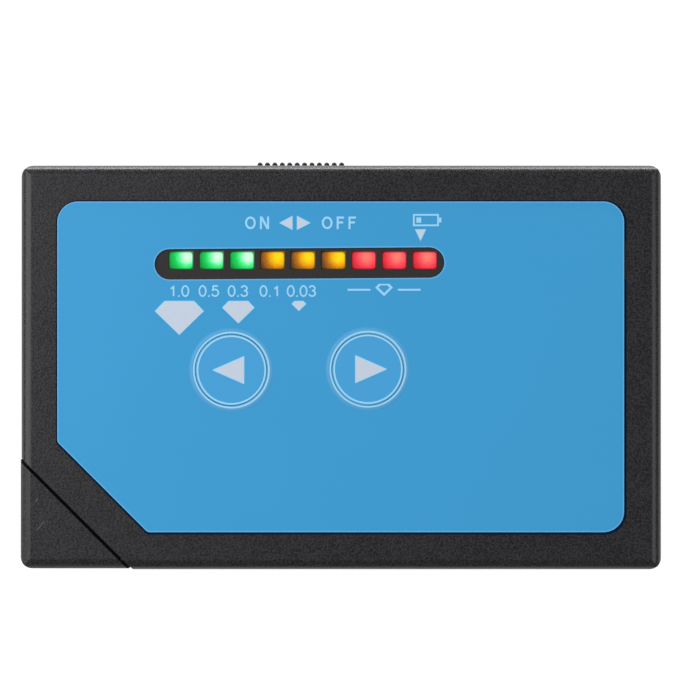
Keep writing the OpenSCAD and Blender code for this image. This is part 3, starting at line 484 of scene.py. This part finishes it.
finishes = {
    "front_cover": shell, "rear_cover": shell, "battery_door": shell, "film_overlay": film,
    "left_key": keyFilm, "right_key": keyFilm, "probe_cap": cap, "probe_holder": holderBlackShade,
    "probe_end_cap": holderBlackShade, "power_knob": knobBlack, "case_screws": screwSteel, "board_screws": screwSteel,
    "main_board": boardLaminate(), "power_switch_body": switchSteel, "probe_spring": springSteel,
    "battery_terminals": nickel, "probe_needle": probeCopper(), "battery": batteryJacket(),
    "power_switch_lever": moulded("leverBlack", grey(20), grey(38), roughness=0.5),
    "left_switch_body": switchCase("keySwitchBody", "left_switch_body"),
    "left_switch_plunger": moulded("plungerGrey", grey(84), grey(104), roughness=0.45),
    "battery_snap": moulded("snapBlack", grey(22), grey(40), roughness=0.42, grain=0.7, depth=0.05),
    "battery_lead_red": vinyl("leadRed", paint(168, 20, 18), paint(196, 34, 28)),
    "battery_lead_black": vinyl("leadBlack", grey(20), grey(36)),
    "probe_lead_white": vinyl("leadWhite", paint(212, 210, 202), paint(232, 230, 224)),
    "probe_lead_yellow": vinyl("leadYellow", paint(214, 170, 30), paint(236, 194, 52)),
    "buzzer": moulded("buzzerBlack", grey(22), grey(34), roughness=0.5, grain=0.5, depth=0.02),
    "controller_chip": chipEpoxy("controllerEpoxy", "controller_chip", halfY=3.76),
    "amplifier_chip": chipEpoxy("amplifierEpoxy", "amplifier_chip", halfY=2.01),
    "lamp_resistors": chipEpoxy("resistorBody", "lamp_resistors", halfY=1.05),
    "regulator": moulded("regulatorEpoxy", grey(24), grey(38), roughness=0.55, grain=0.2),
    "capacitors": capacitorSleeve(),
    "trimmer": moulded("trimmerBlue", paint(24, 74, 150), paint(36, 92, 172), roughness=0.4),
}
finishes["right_switch_body"] = finishes["left_switch_body"]
finishes["right_switch_plunger"] = finishes["left_switch_plunger"]
for tint in ("green", "amber", "red"):
    glow = lampGlow(tint + "Lamp", *lampLook[tint])
    for count in (1, 2, 3):
        finishes["%s_led_%d" % (tint, count)] = glow
for name, look in finishes.items():
    nodes[name].data.materials.clear()
    nodes[name].data.materials.append(look)


# meshes
weld = 1e-7  # points nearer than this, in metres, are one
strokeStep = 0.004  # crossing strokes differ in height by this, so that no faces coincide


def newPiece(name, shape, look):  # a mesh object at the origin, from a bmesh
    bmesh.ops.remove_doubles(shape, verts=shape.verts, dist=weld)
    bmesh.ops.recalc_face_normals(shape, faces=shape.faces)
    mesh = bpy.data.meshes.new(name)
    shape.to_mesh(mesh)
    shape.free()
    mesh.materials.append(look)
    piece = bpy.data.objects.new(name, mesh)
    scene.collection.objects.link(piece)
    return piece


def addPiece(name, shape, look, body="case"):
    piece = newPiece(name, shape, look)
    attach(piece, body)


def settle(piece, smoothAngle):  # turn a grown piece into a plain mesh
    shot = piece.evaluated_get(bpy.context.evaluated_depsgraph_get())
    mesh = bpy.data.meshes.new_from_object(shot)
    piece.modifiers.clear()
    piece.data = mesh
    mesh.shade_smooth()
    mesh.set_sharp_from_angle(angle=math.radians(smoothAngle))
    return piece


def addPlate(shape, outline, low, high):  # a flat shape with a thickness, all in millimetres
    count = len(outline)
    rings = [[shape.verts.new((x * mm, y * mm, z * mm)) for x, y in outline] for z in (low, high)]
    shape.faces.new(rings[0][::-1])
    shape.faces.new(rings[1])
    for k in range(count):
        j = (k + 1) % count
        shape.faces.new((rings[0][k], rings[0][j], rings[1][j], rings[1][k]))


def addBand(shape, outer, inner, low, high):  # the same between two outlines of as many points
    count = len(outer)
    rings = [[shape.verts.new((x * mm, y * mm, z * mm)) for x, y in outline]
             for z in (low, high) for outline in (outer, inner)]
    for k in range(count):
        j = (k + 1) % count
        for a, b in ((0, 1), (1, 3), (3, 2), (2, 0)):
            shape.faces.new((rings[a][k], rings[a][j], rings[b][j], rings[b][k]))


def oblong(left, right, low, high):
    return [(left, low), (right, low), (right, high), (left, high)]


def bow(x, y, halfX, halfY, start, stop, steps=18):  # part of an oval, angles in degrees
    turns = [math.radians(start + (stop - start) * k / steps) for k in range(steps + 1)]
    return [(x + halfX * math.cos(turn), y + halfY * math.sin(turn)) for turn in turns]


def oval(x, y, halfX, halfY, count=96):
    return bow(x, y, halfX, halfY, 0, 360, count)[:-1]


def addRing(shape, x, y, outer, inner, low, high):
    addBand(shape, oval(x, y, outer, outer), oval(x, y, inner, inner), low, high)


def cornersOf(outline):  # each corner, the ways back and ahead, and half the angle between them
    count = len(outline)
    for k in range(count):
        before, here, after = (Vector(outline[(k + s) % count]) for s in (-1, 0, 1))
        back, ahead = (before - here).normalized(), (after - here).normalized()
        yield here, back, ahead, back.angle(ahead) / 2


def softened(outline, radius, steps=5):  # a convex outline with its corners rounded
    points = []
    for here, back, ahead, half in cornersOf(outline):
        reach = radius / math.tan(half)
        middle = here + (back + ahead).normalized() * radius / math.sin(half)
        start, stop = here + back * reach - middle, here + ahead * reach - middle
        for s in range(steps + 1):
            points.append(tuple(middle + start.lerp(stop, s / steps).normalized() * radius))
    return points


def shrunk(outline, width):  # a convex outline moved inwards
    return [tuple(here + (back + ahead).normalized() * width / math.sin(half))
            for here, back, ahead, half in cornersOf(outline)]


def thickened(path, width):  # the outline of a drawn line
    points = [Vector(point) for point in path]
    runs = [(ahead - here).normalized() for here, ahead in zip(points, points[1:])]
    left, right = [], []
    for k, point in enumerate(points):
        before, after = runs[max(k - 1, 0)], runs[min(k, len(runs) - 1)]
        along = (before + after).normalized()
        across = Vector((-along.y, along.x))
        reach = width / 2 / along.dot(after)
        left.append(tuple(point + across * reach))
        right.append(tuple(point - across * reach))
    return left + right[::-1]


print("printing the film")
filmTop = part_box("film_overlay")[1][2] / mm
inkThick = 0.02
inkEdge = 0.14  # the line round a filled print
inkTop = filmTop + inkThick


def addInk(shape, outline, rise=0.0):
    addPlate(shape, outline, filmTop, inkTop + rise)


def addInkBand(shape, outer, inner):
    addBand(shape, outer, inner, filmTop, inkTop)


def addEdged(shape, edging, outline, soft=0.0):  # a filled print, and the bluer line round it
    inner = shrunk(outline, inkEdge)
    if soft:
        outline, inner = softened(outline, soft), softened(inner, soft)
    addInk(shape, inner)
    addInkBand(edging, outline, inner)


# signs of the print: width, cell and inset as shares of the height, and lines on a unit square
signs = {
    "0": (0.685, 0.75, 0.03, None), "O": (0.85, 1.18, 0.0, None), ".": (0.135, 0.335, 0.1, None),
    "1": (0.39, 0.75, 0.14, [[(1.0, 0.0), (1.0, 1.0)], [(0.0, 0.74), (0.5, 0.79), (1.0, 0.95)]]),
    "3": (0.685, 0.75, 0.03, [bow(0.47, 0.76, 0.43, 0.24, 165, -92), bow(0.47, 0.27, 0.5, 0.27, 92, -165)]),
    "5": (0.685, 0.75, 0.03, [[(0.93, 1.0), (0.2, 1.0), (0.09, 0.5)],
                              bow(0.46, 0.33, 0.52, 0.33, 134, -160)]),
    "N": (0.73, 1.0, 0.0, None), "F": (0.585, 0.94, 0.0, None),
}
signSlant = 1.25  # width of the N's slanted line, in lines
signBar = (0.45, 0.12)  # height of the F's lower bar, and how much shorter it is


def addSign(shape, sign, left, marks):
    base, height, line = marks["base"], marks["height"], marks["line"]
    wide = signs[sign][0] * height
    right, top = left + wide, base + height
    if sign in "0O":
        x, y, halfX, halfY = left + wide / 2, base + height / 2, wide / 2, height / 2
        addInkBand(shape, oval(x, y, halfX, halfY), oval(x, y, halfX - line, halfY - line))
    elif sign == ".":
        addInk(shape, oblong(left, right, base, base + wide))
    elif sign == "N":
        slant = line * signSlant
        step = height * line / (wide - slant)
        addInk(shape, [
            (left, base), (left + line, base), (left + line, top - step), (right - slant, base),
            (right, base), (right, top), (right - line, top), (right - line, base + step),
            (left + slant, top), (left, top)])
    elif sign == "F":
        bar, short = base + height * signBar[0], right - wide * signBar[1]
        addInk(shape, [
            (left, base), (left + line, base), (left + line, bar), (short, bar), (short, bar + line),
            (left + line, bar + line), (left + line, top - line), (right, top - line), (right, top),
            (left, top)])
    else:
        startX, startY = left + line / 2, base + line / 2
        for k, path in enumerate(signs[sign][3]):
            placed = [(startX + x * (wide - line), startY + y * (height - line)) for x, y in path]
            addInk(shape, thickened(placed, line), k * strokeStep)


def addWords(shape, words, left, marks):  # left is where the ink starts
    height = marks["height"]
    pen = left - signs[words[0]][2] * height
    for sign in words:
        addSign(shape, sign, pen + signs[sign][2] * height, marks)
        pen += signs[sign][1] * height


scaleMarks = {
    "numbers": [("1.0", -28.09), ("0.5", -23.38), ("0.3", -18.62), ("0.1", -13.4), ("0.03", -8.93)],
    "base": 11.56, "height": 1.92, "line": 0.26,
    "gems": [(-26.54, 8.09), (-16.86, 5.37), (-6.94, 2.45)], "gemTop": 10.92,
    "gemHeight": 0.695, "gemTable": 0.6, "gemCrown": 0.3,
    "rule": (1.04, 13.0), "ruleRise": 1.17, "ruleWidth": 0.3, "ruleGem": 2.9, "ruleGap": 0.8,
    "ruleShrink": 0.627,
}


def gemOutline(middle, top, width):
    height = scaleMarks["gemHeight"] * width
    table = scaleMarks["gemTable"] * width / 2
    girdle = top - scaleMarks["gemCrown"] * height
    return [(middle - table, top), (middle - width / 2, girdle), (middle, top - height),
            (middle + width / 2, girdle), (middle + table, top)]


shape = bmesh.new()
for words, left in scaleMarks["numbers"]:
    addWords(shape, words, left, scaleMarks)
ruleLeft, ruleRight = scaleMarks["rule"]
ruleMid = (ruleLeft + ruleRight) / 2
ruleY = scaleMarks["base"] + scaleMarks["ruleRise"]
half = scaleMarks["ruleWidth"] / 2
gemHalf = scaleMarks["ruleGem"] / 2
for left, right in ((ruleLeft, ruleMid - gemHalf - scaleMarks["ruleGap"]),
                    (ruleMid + gemHalf + scaleMarks["ruleGap"], ruleRight)):
    addInk(shape, oblong(left, right, ruleY - half, ruleY + half))
outer = gemOutline(ruleMid, ruleY + scaleMarks["height"] / 2, scaleMarks["ruleGem"])
gemMid = Vector((ruleMid, sum(y for x, y in outer) / len(outer)))
inner = [tuple(gemMid + (Vector(point) - gemMid) * scaleMarks["ruleShrink"]) for point in outer]
addInkBand(shape, outer, inner)
addPiece("scale_print", shape, fineInk)
shape = bmesh.new()
edging = bmesh.new()
for middle, width in scaleMarks["gems"]:
    addEdged(shape, edging, gemOutline(middle, scaleMarks["gemTop"], width))
addPiece("gem_print", shape, ink)

switchMarks = {
    "on": ("ON", -15.76), "off": ("OFF", -3.18), "base": 22.67, "height": 2.06, "line": 0.33,
    "leftTip": -10.20, "leftBase": -7.97, "rightBase": -7.29, "rightTip": -4.97,
    "low": 22.50, "high": 24.88, "cellArrow": (12.06, 13.92, 22.65, 20.67),
    "cell": (11.75, 16.0, 23.15, 25.15), "cellLine": 0.28, "cellNub": (0.02, 0.42), "cellNubShare": 0.4,
    "cellBar": 0.8,
}
shape = bmesh.new()
for words, left in (switchMarks["on"], switchMarks["off"]):
    addWords(shape, words, left, switchMarks)
left, right, low, high = switchMarks["cell"]
line = switchMarks["cellLine"]
inset = oblong(left + line, right - line, low + line, high - line)
addInkBand(shape, oblong(left, right, low, high), inset)
nubFrom, nubTo = switchMarks["cellNub"]
nubHalf, middle = (high - low) * switchMarks["cellNubShare"] / 2, (low + high) / 2
addInk(shape, oblong(right + nubFrom, right + nubTo, middle - nubHalf, middle + nubHalf))
barLeft = left + 2 * line
barRight = barLeft + switchMarks["cellBar"]
addInk(shape, oblong(barLeft, barRight, low + 2 * line, high - 2 * line))
addPiece("switch_print", shape, fineInk)
shape = bmesh.new()
middle = (switchMarks["low"] + switchMarks["high"]) / 2
for tip, base in ((switchMarks["leftTip"], switchMarks["leftBase"]),
                  (switchMarks["rightTip"], switchMarks["rightBase"])):
    addEdged(shape, edging, [(tip, middle), (base, switchMarks["low"]), (base, switchMarks["high"])])
left, right, top, tip = switchMarks["cellArrow"]
addEdged(shape, edging, [(left, top), (right, top), ((left + right) / 2, tip)])
addPiece("way_print", shape, ink)
addPiece("edge_print", edging, fineInk)

keyMarks = {
    "inner": 5.55, "outer": 6.155, "line": 0.28, "tip": 3.22, "base": 2.12, "tall": 4.68, "soft": 0.1,
    "face": 5.8, "skirt": 5.88, "skirtTop": 0.03, "skirtDeep": 0.25,
}
rings = bmesh.new()
for name, side in (("left_key", -1), ("right_key", 1)):
    keyX, keyY, _ = middleOf(name)
    x, y = laidOn(name)
    line = keyMarks["line"] / 2
    addRing(rings, x, y, keyMarks["outer"] + line, keyMarks["outer"] - line, filmTop, inkTop)
    shape = bmesh.new()
    addRing(shape, x, y, keyMarks["inner"] + line, keyMarks["inner"] - line, filmTop, inkTop)
    addPiece(name.replace("key", "ring_print"), shape, fineInk, name)
    shape = bmesh.new()
    edging = bmesh.new()
    base, half = x - side * keyMarks["base"], keyMarks["tall"] / 2
    arrow = [(x + side * keyMarks["tip"], y), (base, y + half), (base, y - half)]
    addEdged(shape, edging, arrow, keyMarks["soft"])
    addPiece(name.replace("key", "arrow_print"), shape, ink, name)
    addPiece(name.replace("key", "edge_print"), edging, fineInk, name)
    shape = bmesh.new()  # the film's thin skirt round the key, which closes its gap; its darker blue is the groove's painted shade
    top = filmTop - keyMarks["skirtTop"]
    addRing(shape, keyX, keyY, keyMarks["skirt"], keyMarks["face"], top - keyMarks["skirtDeep"], top)
    addPiece(name + "_skirt", shape, groove, name)
addPiece("ring_print", rings, fineInk)

# a painted highlight: a pale band along the film's cut edges and round its window
print("paling the film's cut edges")
edgeMarks = {"round": 3.4, "cutRound": 1.0, "wide": 0.2, "proud": 0.008, "deep": 0.1, "window": (12, 24),
             "windowHalf": 40, "turn": 0.4, "near": 0.01}
filmSpots = [(spot.co.x / mm, spot.co.y / mm) for spot in nodes["film_overlay"].data.vertices]


def filmOutline(inset):
    (left, low), (right, high) = [(corner[0] / mm, corner[1] / mm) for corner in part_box("film_overlay")]
    cutY = min(y for x, y in filmSpots if x < left + edgeMarks["near"])
    cutX = min(x for x, y in filmSpots if y < low + edgeMarks["near"])
    turn, cut = edgeMarks["round"], edgeMarks["cutRound"]
    corners = [(right - turn, low + turn, turn, -90, 0), (right - turn, high - turn, turn, 0, 90),
               (left + turn, high - turn, turn, 90, 180), (left + cut, cutY, cut, 180, 225),
               (cutX, low + cut, cut, 225, 270)]
    points = []
    for x, y, radius, start, stop in corners:
        points += bow(x, y, radius - inset, radius - inset, start, stop)
    return points


def windowOutline(grow):
    low, high = edgeMarks["window"]
    askew = Matrix.Rotation(math.radians(edgeMarks["turn"]), 2)
    inside = [spot for spot in filmSpots if low < spot[1] < high and abs(spot[0]) < edgeMarks["windowHalf"]]
    level = [askew.inverted() @ Vector(spot) for spot in inside]
    left, right = (pick(spot.x for spot in level) for pick in (min, max))
    low, high = (pick(spot.y for spot in level) for pick in (min, max))
    turn, middle = (high - low) / 2, (low + high) / 2
    outline = (bow(right - turn, middle, turn + grow, turn + grow, -90, 90)
               + bow(left + turn, middle, turn + grow, turn + grow, 90, 270))
    return [tuple(askew @ Vector(spot)) for spot in outline]


shape = bmesh.new()
bottom, top = filmTop - edgeMarks["deep"], filmTop + edgeMarks["proud"]
addBand(shape, filmOutline(0.0), filmOutline(edgeMarks["wide"]), bottom, top)
addBand(shape, windowOutline(edgeMarks["wide"]), windowOutline(0.0), bottom, top)
addPiece("film_edge_highlight", shape, filmRim)

print("closing the seam's ends")
seamTabs = {"insets": (0.2, 0.6), "wide": 1.6, "proud": 0.4, "low": 1.0, "high": 20.9, "near": 0.01,
            "square": 0.999}
outward, sideways = Vector((-1, -1, 0)).normalized(), Vector((1, -1, 0)).normalized()
cover = nodes["front_cover"].data
slanted = [face for face in cover.polygons if face.normal.dot(outward) > seamTabs["square"]]
corner = [cover.vertices[k].co / mm for face in slanted for k in face.vertices]
seat = max(spot.dot(outward) for spot in corner)  # the case's cut face
reach = [spot.dot(sideways) for spot in corner if spot.dot(outward) > seat - seamTabs["near"]]
shape = bmesh.new()
for end, inward, inset in zip((min(reach), max(reach)), (1, -1), seamTabs["insets"]):
    near, far = end + inward * inset, end + inward * (inset + seamTabs["wide"])
    foot = oblong(seat, seat + seamTabs["proud"], near, far)
    foot = [outward * out + sideways * side for out, side in foot]
    addPlate(shape, [(spot.x, spot.y) for spot in foot], seamTabs["low"], seamTabs["high"])
# the tabs take the holder's near-black finish, partly painted shade
addPiece("seam_tabs", shape, holderBlackShade)

print("winding the spring")
springLook = {"turns": 6, "wire": 0.2, "steps": 40, "sides": 12, "smooth": 60}
springSpots = [spot.co / mm for spot in nodes["probe_spring"].data.vertices]
springIn, springOut = (pick(spot.dot(outward) for spot in springSpots) for pick in (min, max))
middle = Vector(middleOf("probe_spring"))
axisSpot = middle - outward * middle.dot(outward)  # where the probe's axis passes nearest to the origin
wire = springLook["wire"]
coilRadius = max(abs((spot - axisSpot).dot(sideways)) for spot in springSpots) - wire
shape = bmesh.new()
rings = []
stepCount = springLook["turns"] * springLook["steps"]
for k in range(stepCount + 1):
    turn = 2 * math.pi * k / springLook["steps"]
    share = k / stepCount
    radial = sideways * math.cos(turn) + Vector((0, 0, math.sin(turn)))
    along = springIn + wire + share * (springOut - springIn - 2 * wire)
    centre = axisSpot + radial * coilRadius + outward * along
    rings.append([shape.verts.new((centre + radial * x + outward * y) * mm)
                  for x, y in oval(0, 0, wire, wire, springLook["sides"])])
for here, ahead in zip(rings, rings[1:]):
    for k in range(springLook["sides"]):
        j = (k + 1) % springLook["sides"]
        shape.faces.new((here[k], here[j], ahead[j], ahead[k]))
shape.faces.new(rings[0])
shape.faces.new(rings[-1])
spring = settle(newPiece("coil_spring", shape, springSteel), springLook["smooth"])

print("growing the screws")
screwLook = {"headRadius": 2.2, "headHeight": 1.8, "dome": 0.55, "shankRadius": 0.95, "shankLength": 9.0,
             "crossSpan": 2.7, "crossWidth": 0.62, "crossDepth": 1.0, "headSides": 40, "domeRings": 7,
             "shankSides": 24}
screwFinish = {"smooth": 40, "near": 0.1, "faceFrom": -0.49, "apart": 3}


def growth(name, sizes):  # a shape tree with named sizes in millimetres
    tree = bpy.data.node_groups.new(name, "GeometryNodeTree")
    face = tree.interface
    face.new_socket("Geometry", in_out="INPUT", socket_type="NodeSocketGeometry")
    face.new_socket("Geometry", in_out="OUTPUT", socket_type="NodeSocketGeometry")
    for label, value in sizes.items():
        kind = "NodeSocketInt" if isinstance(value, int) else "NodeSocketFloat"
        face.new_socket(label, in_out="INPUT", socket_type=kind).default_value = value
    yard = Yard(tree)
    inlet = yard.node("NodeGroupInput")
    given = {label: inlet.also(label) for label in sizes}
    return yard, inlet, given


def combine(yard, x=0.0, y=0.0, z=0.0):
    return yard.node("ShaderNodeCombineXYZ", plugs={"X": x, "Y": y, "Z": z})


def block(yard, *size):
    return yard.node("GeometryNodeMeshCube", plugs={"Size": combine(yard, *size)})


def moved(yard, shape, y=0.0, z=0.0):
    return yard.node("GeometryNodeTransform", plugs={
        "Geometry": shape, "Translation": combine(yard, y=y, z=z)})


def closeGrowth(yard, shape, look):
    whole = yard.node("GeometryNodeRealizeInstances", plugs={"Geometry": shape})
    dressed = yard.node("GeometryNodeSetMaterial", plugs={"Geometry": whole, "Material": look})
    yard.node("NodeGroupOutput", plugs={"Geometry": dressed})


def plant(name, tree, points, sizes):  # an object that carries the tree, with its sizes set
    mesh = bpy.data.meshes.new(name)
    mesh.from_pydata(points, [], [])
    piece = bpy.data.objects.new(name, mesh)
    scene.collection.objects.link(piece)
    grower = piece.modifiers.new("growth", "NODES")
    grower.node_group = tree
    for item in tree.interface.items_tree:
        if item.in_out == "INPUT" and item.name in sizes:
            size = sizes[item.name]
            grower[item.identifier] = size if isinstance(size, int) else size * mm
    return piece


yard, inlet, given = growth("panScrews", screwLook)
rim = given["headHeight"] - given["dome"]
head = yard.node("GeometryNodeMeshCylinder", {"fill_type": "TRIANGLE_FAN"}, {
    "Vertices": given["headSides"], "Side Segments": 2, "Fill Segments": given["domeRings"],
    "Radius": given["headRadius"], "Depth": rim})
spot = yard.node("ShaderNodeSeparateXYZ", plugs={0: yard.node("GeometryNodeInputPosition")})
spotX, spotY, spotZ = spot, spot.also(1), spot.also(2)
share = 1 - (spotX * spotX + spotY * spotY) / (given["headRadius"] * given["headRadius"])
drop = (spotZ < rim * screwFinish["faceFrom"]) * share * given["dome"] * -1
head = yard.node("GeometryNodeSetPosition", plugs={"Geometry": head, "Offset": combine(yard, z=drop)})
head = moved(yard, head, z=rim * -0.5)
slots = [block(yard, given["crossSpan"], given["crossWidth"], given["crossDepth"] * 2),
         block(yard, given["crossWidth"], given["crossSpan"], given["crossDepth"] * 2)]
slots = [moved(yard, slot, z=given["headHeight"] * -1) for slot in slots]
head = yard.node("GeometryNodeMeshBoolean", {"operation": "DIFFERENCE"}, {"Mesh 1": head, "Mesh 2": slots})
shank = yard.node("GeometryNodeMeshCylinder", plugs={
    "Vertices": given["shankSides"], "Radius": given["shankRadius"], "Depth": given["shankLength"]})
shank = moved(yard, shank, z=given["shankLength"] * 0.5)
screw = yard.node("GeometryNodeJoinGeometry", plugs={"Geometry": [head, shank]})
spread = yard.node("GeometryNodeInstanceOnPoints", plugs={"Points": inlet, "Instance": screw})
closeGrowth(yard, spread, screwSteel)
screwMesh = nodes["case_screws"].data
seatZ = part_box("case_screws")[0][2] + screwLook["headHeight"] * mm
heads = [point.co for point in screwMesh.vertices if point.co.z < seatZ - screwFinish["near"] * mm]
groups = []
for spotAt in heads:  # the heads' own places, one group each
    for group in groups:
        if (group[0].xy - spotAt.xy).length < screwFinish["apart"] * screwLook["headRadius"] * mm:
            group.append(spotAt)
            break
    else:
        groups.append([spotAt])
seats = []
for group in groups:
    spanX, spanY = [p.x for p in group], [p.y for p in group]
    seats.append(((min(spanX) + max(spanX)) / 2, (min(spanY) + max(spanY)) / 2, seatZ))
screws = settle(plant("pan_screws", yard.tree, seats, screwLook), screwFinish["smooth"])

print("growing the knob")
knobLook = {"flangeDepth": 1.1, "bodyDepth": 2.05, "ribCount": 12, "ribPitch": 1.23, "ribRadius": 0.44,
            "ribProud": 0.8, "faceSunk": 0.1, "overlap": 0.02,
            "socketLength": 2.8, "socketHeight": 2.4, "socketDepth": 2.2, "ribSides": 20, "ribRings": 10}
knobFinish = {"flangeSide": 2.3, "flangeRise": 1.2, "bevel": 0.12, "bevelSteps": 2, "bevelFrom": 60,
              "smooth": 40, "near": 0.01}
low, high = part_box("power_knob")
knobLook["flangeLength"], knobLook["flangeHeight"] = (high[0] - low[0]) / mm, (high[2] - low[2]) / mm
knobLook["bodyLength"] = knobLook["flangeLength"] - 2 * knobFinish["flangeSide"]
knobLook["bodyHeight"] = knobLook["flangeHeight"] - 2 * knobFinish["flangeRise"]
yard, inlet, given = growth("ribbedKnob", knobLook)
body = block(yard, given["bodyLength"], given["bodyDepth"], given["bodyHeight"])
body = moved(yard, body, y=given["bodyDepth"] * -0.5 - given["faceSunk"])
flangeFront = given["overlap"] - given["bodyDepth"] - given["faceSunk"]
flange = block(yard, given["flangeLength"], given["flangeDepth"], given["flangeHeight"])
flange = moved(yard, flange, y=flangeFront - given["flangeDepth"] * 0.5)
grip = yard.node("GeometryNodeMeshBoolean", {"operation": "UNION"}, {"Mesh 2": [body, flange]})
socket = block(yard, given["socketLength"], given["socketDepth"] * 2, given["socketHeight"])
socket = moved(yard, socket, y=flangeFront - given["flangeDepth"])
grip = yard.node("GeometryNodeMeshBoolean", {"operation": "DIFFERENCE"}, {
    "Mesh 1": grip, "Mesh 2": [socket]})
ball = yard.node("GeometryNodeMeshUVSphere", plugs={
    "Segments": given["ribSides"], "Rings": given["ribRings"], "Radius": given["ribRadius"]})
spot = yard.node("ShaderNodeSeparateXYZ", plugs={0: yard.node("GeometryNodeInputPosition")})
spotY, spotZ = spot.also(1), spot.also(2)
longer = given["bodyHeight"] * 0.5 - given["ribRadius"]
deeper = given["faceSunk"] + given["ribProud"] - given["ribRadius"]
tiny = knobFinish["near"] * mm
rib = yard.node("GeometryNodeSetPosition", plugs={"Geometry": ball, "Offset": combine(
    yard, y=(spotY < -tiny) * deeper * -1, z=spotZ.sum("SIGN") * longer * (abs(spotZ) > tiny))})
row = yard.node("GeometryNodeMeshLine", plugs={
    "Count": given["ribCount"], "Offset": combine(yard, given["ribPitch"]),
    "Start Location": combine(yard, (given["ribCount"] - 1) * given["ribPitch"] * -0.5,
                              given["ribProud"] - given["ribRadius"])})
ribs = yard.node("GeometryNodeInstanceOnPoints", plugs={"Points": row, "Instance": rib})
knobShape = yard.node("GeometryNodeJoinGeometry", plugs={"Geometry": [grip, ribs]})
placed = yard.node("GeometryNodeInstanceOnPoints", plugs={"Points": inlet, "Instance": knobShape})
closeGrowth(yard, placed, knobBlack)
knobSpot = ((low[0] + high[0]) / 2, high[1] - knobLook["ribProud"] * mm, (low[2] + high[2]) / 2)
knob = plant("ribbed_knob", yard.tree, [knobSpot], knobLook)
rounding = knob.modifiers.new("rounding", "BEVEL")
rounding.width = knobFinish["bevel"] * mm
rounding.segments = knobFinish["bevelSteps"]
rounding.limit_method = "ANGLE"
rounding.angle_limit = math.radians(knobFinish["bevelFrom"])
settle(knob, knobFinish["smooth"])

print("marking the door")
doorMark = {"fromEdge": 17.5, "wide": 7.0, "long": 5.2, "proud": 0.08, "soft": 0.5}
low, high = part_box("battery_door")
x, y, z = (low[0] + high[0]) / 2 / mm, low[1] / mm + doorMark["fromEdge"], low[2] / mm
shape = bmesh.new()
half, back = doorMark["wide"] / 2, y + doorMark["long"]
arrow = [(x, y), (x + half, back), (x - half, back)]
addPlate(shape, softened(arrow, doorMark["soft"]), z - doorMark["proud"], z)
addPiece("door_arrow", shape, polishedSheen, "battery_door")

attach(screws, "case")
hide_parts("case_screws")
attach(spring, "case")
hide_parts("probe_spring")
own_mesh(spring)
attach(knob, "power_knob")
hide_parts("power_knob")

print("setting the studio")
studio = {"lens": 250, "aimX": -0.207, "aimY": 4.5, "plane": 20.3, "pixelsPerMm": 6.09, "frame": 680,
          "world": 0.3, "floorGlow": 0.92, "floorMore": 2.0, "moreFrom": 40, "moreRun": 60, "floorSize": 6.0,
          "floorDrop": 0.2, "floor": grey(140), "floorRough": 0.8}
lens = bpy.data.cameras.new("photoLens")
lens.lens = studio["lens"]
camera = bpy.data.objects.new("photoCamera", lens)
distance = studio["frame"] / studio["pixelsPerMm"] * lens.lens / lens.sensor_width
camera.location = (studio["aimX"] * mm, studio["aimY"] * mm, (studio["plane"] + distance) * mm)
scene.collection.objects.link(camera)
scene.camera = camera
scene.view_settings.view_transform = "Standard"

lamps = {  # place in metres, width and height, watts
    "leftBox": ((-0.36, 0.1, 0.42), (0.5, 0.6), 2.5),
    "rightBox": ((0.34, -0.04, 0.38), (0.2, 0.3), 0.35),
    "backCard": ((0.0, 0.40, 0.025), (1.0, 0.05), 3.0),
}
lampAim = Vector((0, 0, 0.01))
for name, (place, (wide, tall), watts) in lamps.items():
    light = bpy.data.lights.new(name, "AREA")
    light.shape = "RECTANGLE"
    light.size, light.size_y = wide, tall
    light.energy = watts
    stand = bpy.data.objects.new(name, light)
    stand.location = place
    stand.rotation_euler = (lampAim - Vector(place)).to_track_quat("-Z", "Y").to_euler()
    scene.collection.objects.link(stand)
sky = bpy.data.worlds.new("studioAir")
sky.use_nodes = True
sky.node_tree.nodes["Background"].inputs["Color"].default_value = (1, 1, 1, 1)
sky.node_tree.nodes["Background"].inputs["Strength"].default_value = studio["world"]
scene.world = sky

table = Finish("paleTable")
behind = ((table.y - studio["moreFrom"]) / studio["moreRun"]).held()
tableLook = table.surface({"Base Color": studio["floor"], "Roughness": studio["floorRough"],
                           "Specular IOR Level": 0.0, "Emission Strength": 1.0,
                           "Emission Color": behind * studio["floorMore"] + studio["floorGlow"]})
shape = bmesh.new()
bmesh.ops.create_grid(shape, x_segments=1, y_segments=1, size=studio["floorSize"] / 2,
                      matrix=Matrix.Translation((0, 0, -studio["floorDrop"] * mm)))
floor = newPiece("pale_table", shape, tableLook)

print("scene ready")
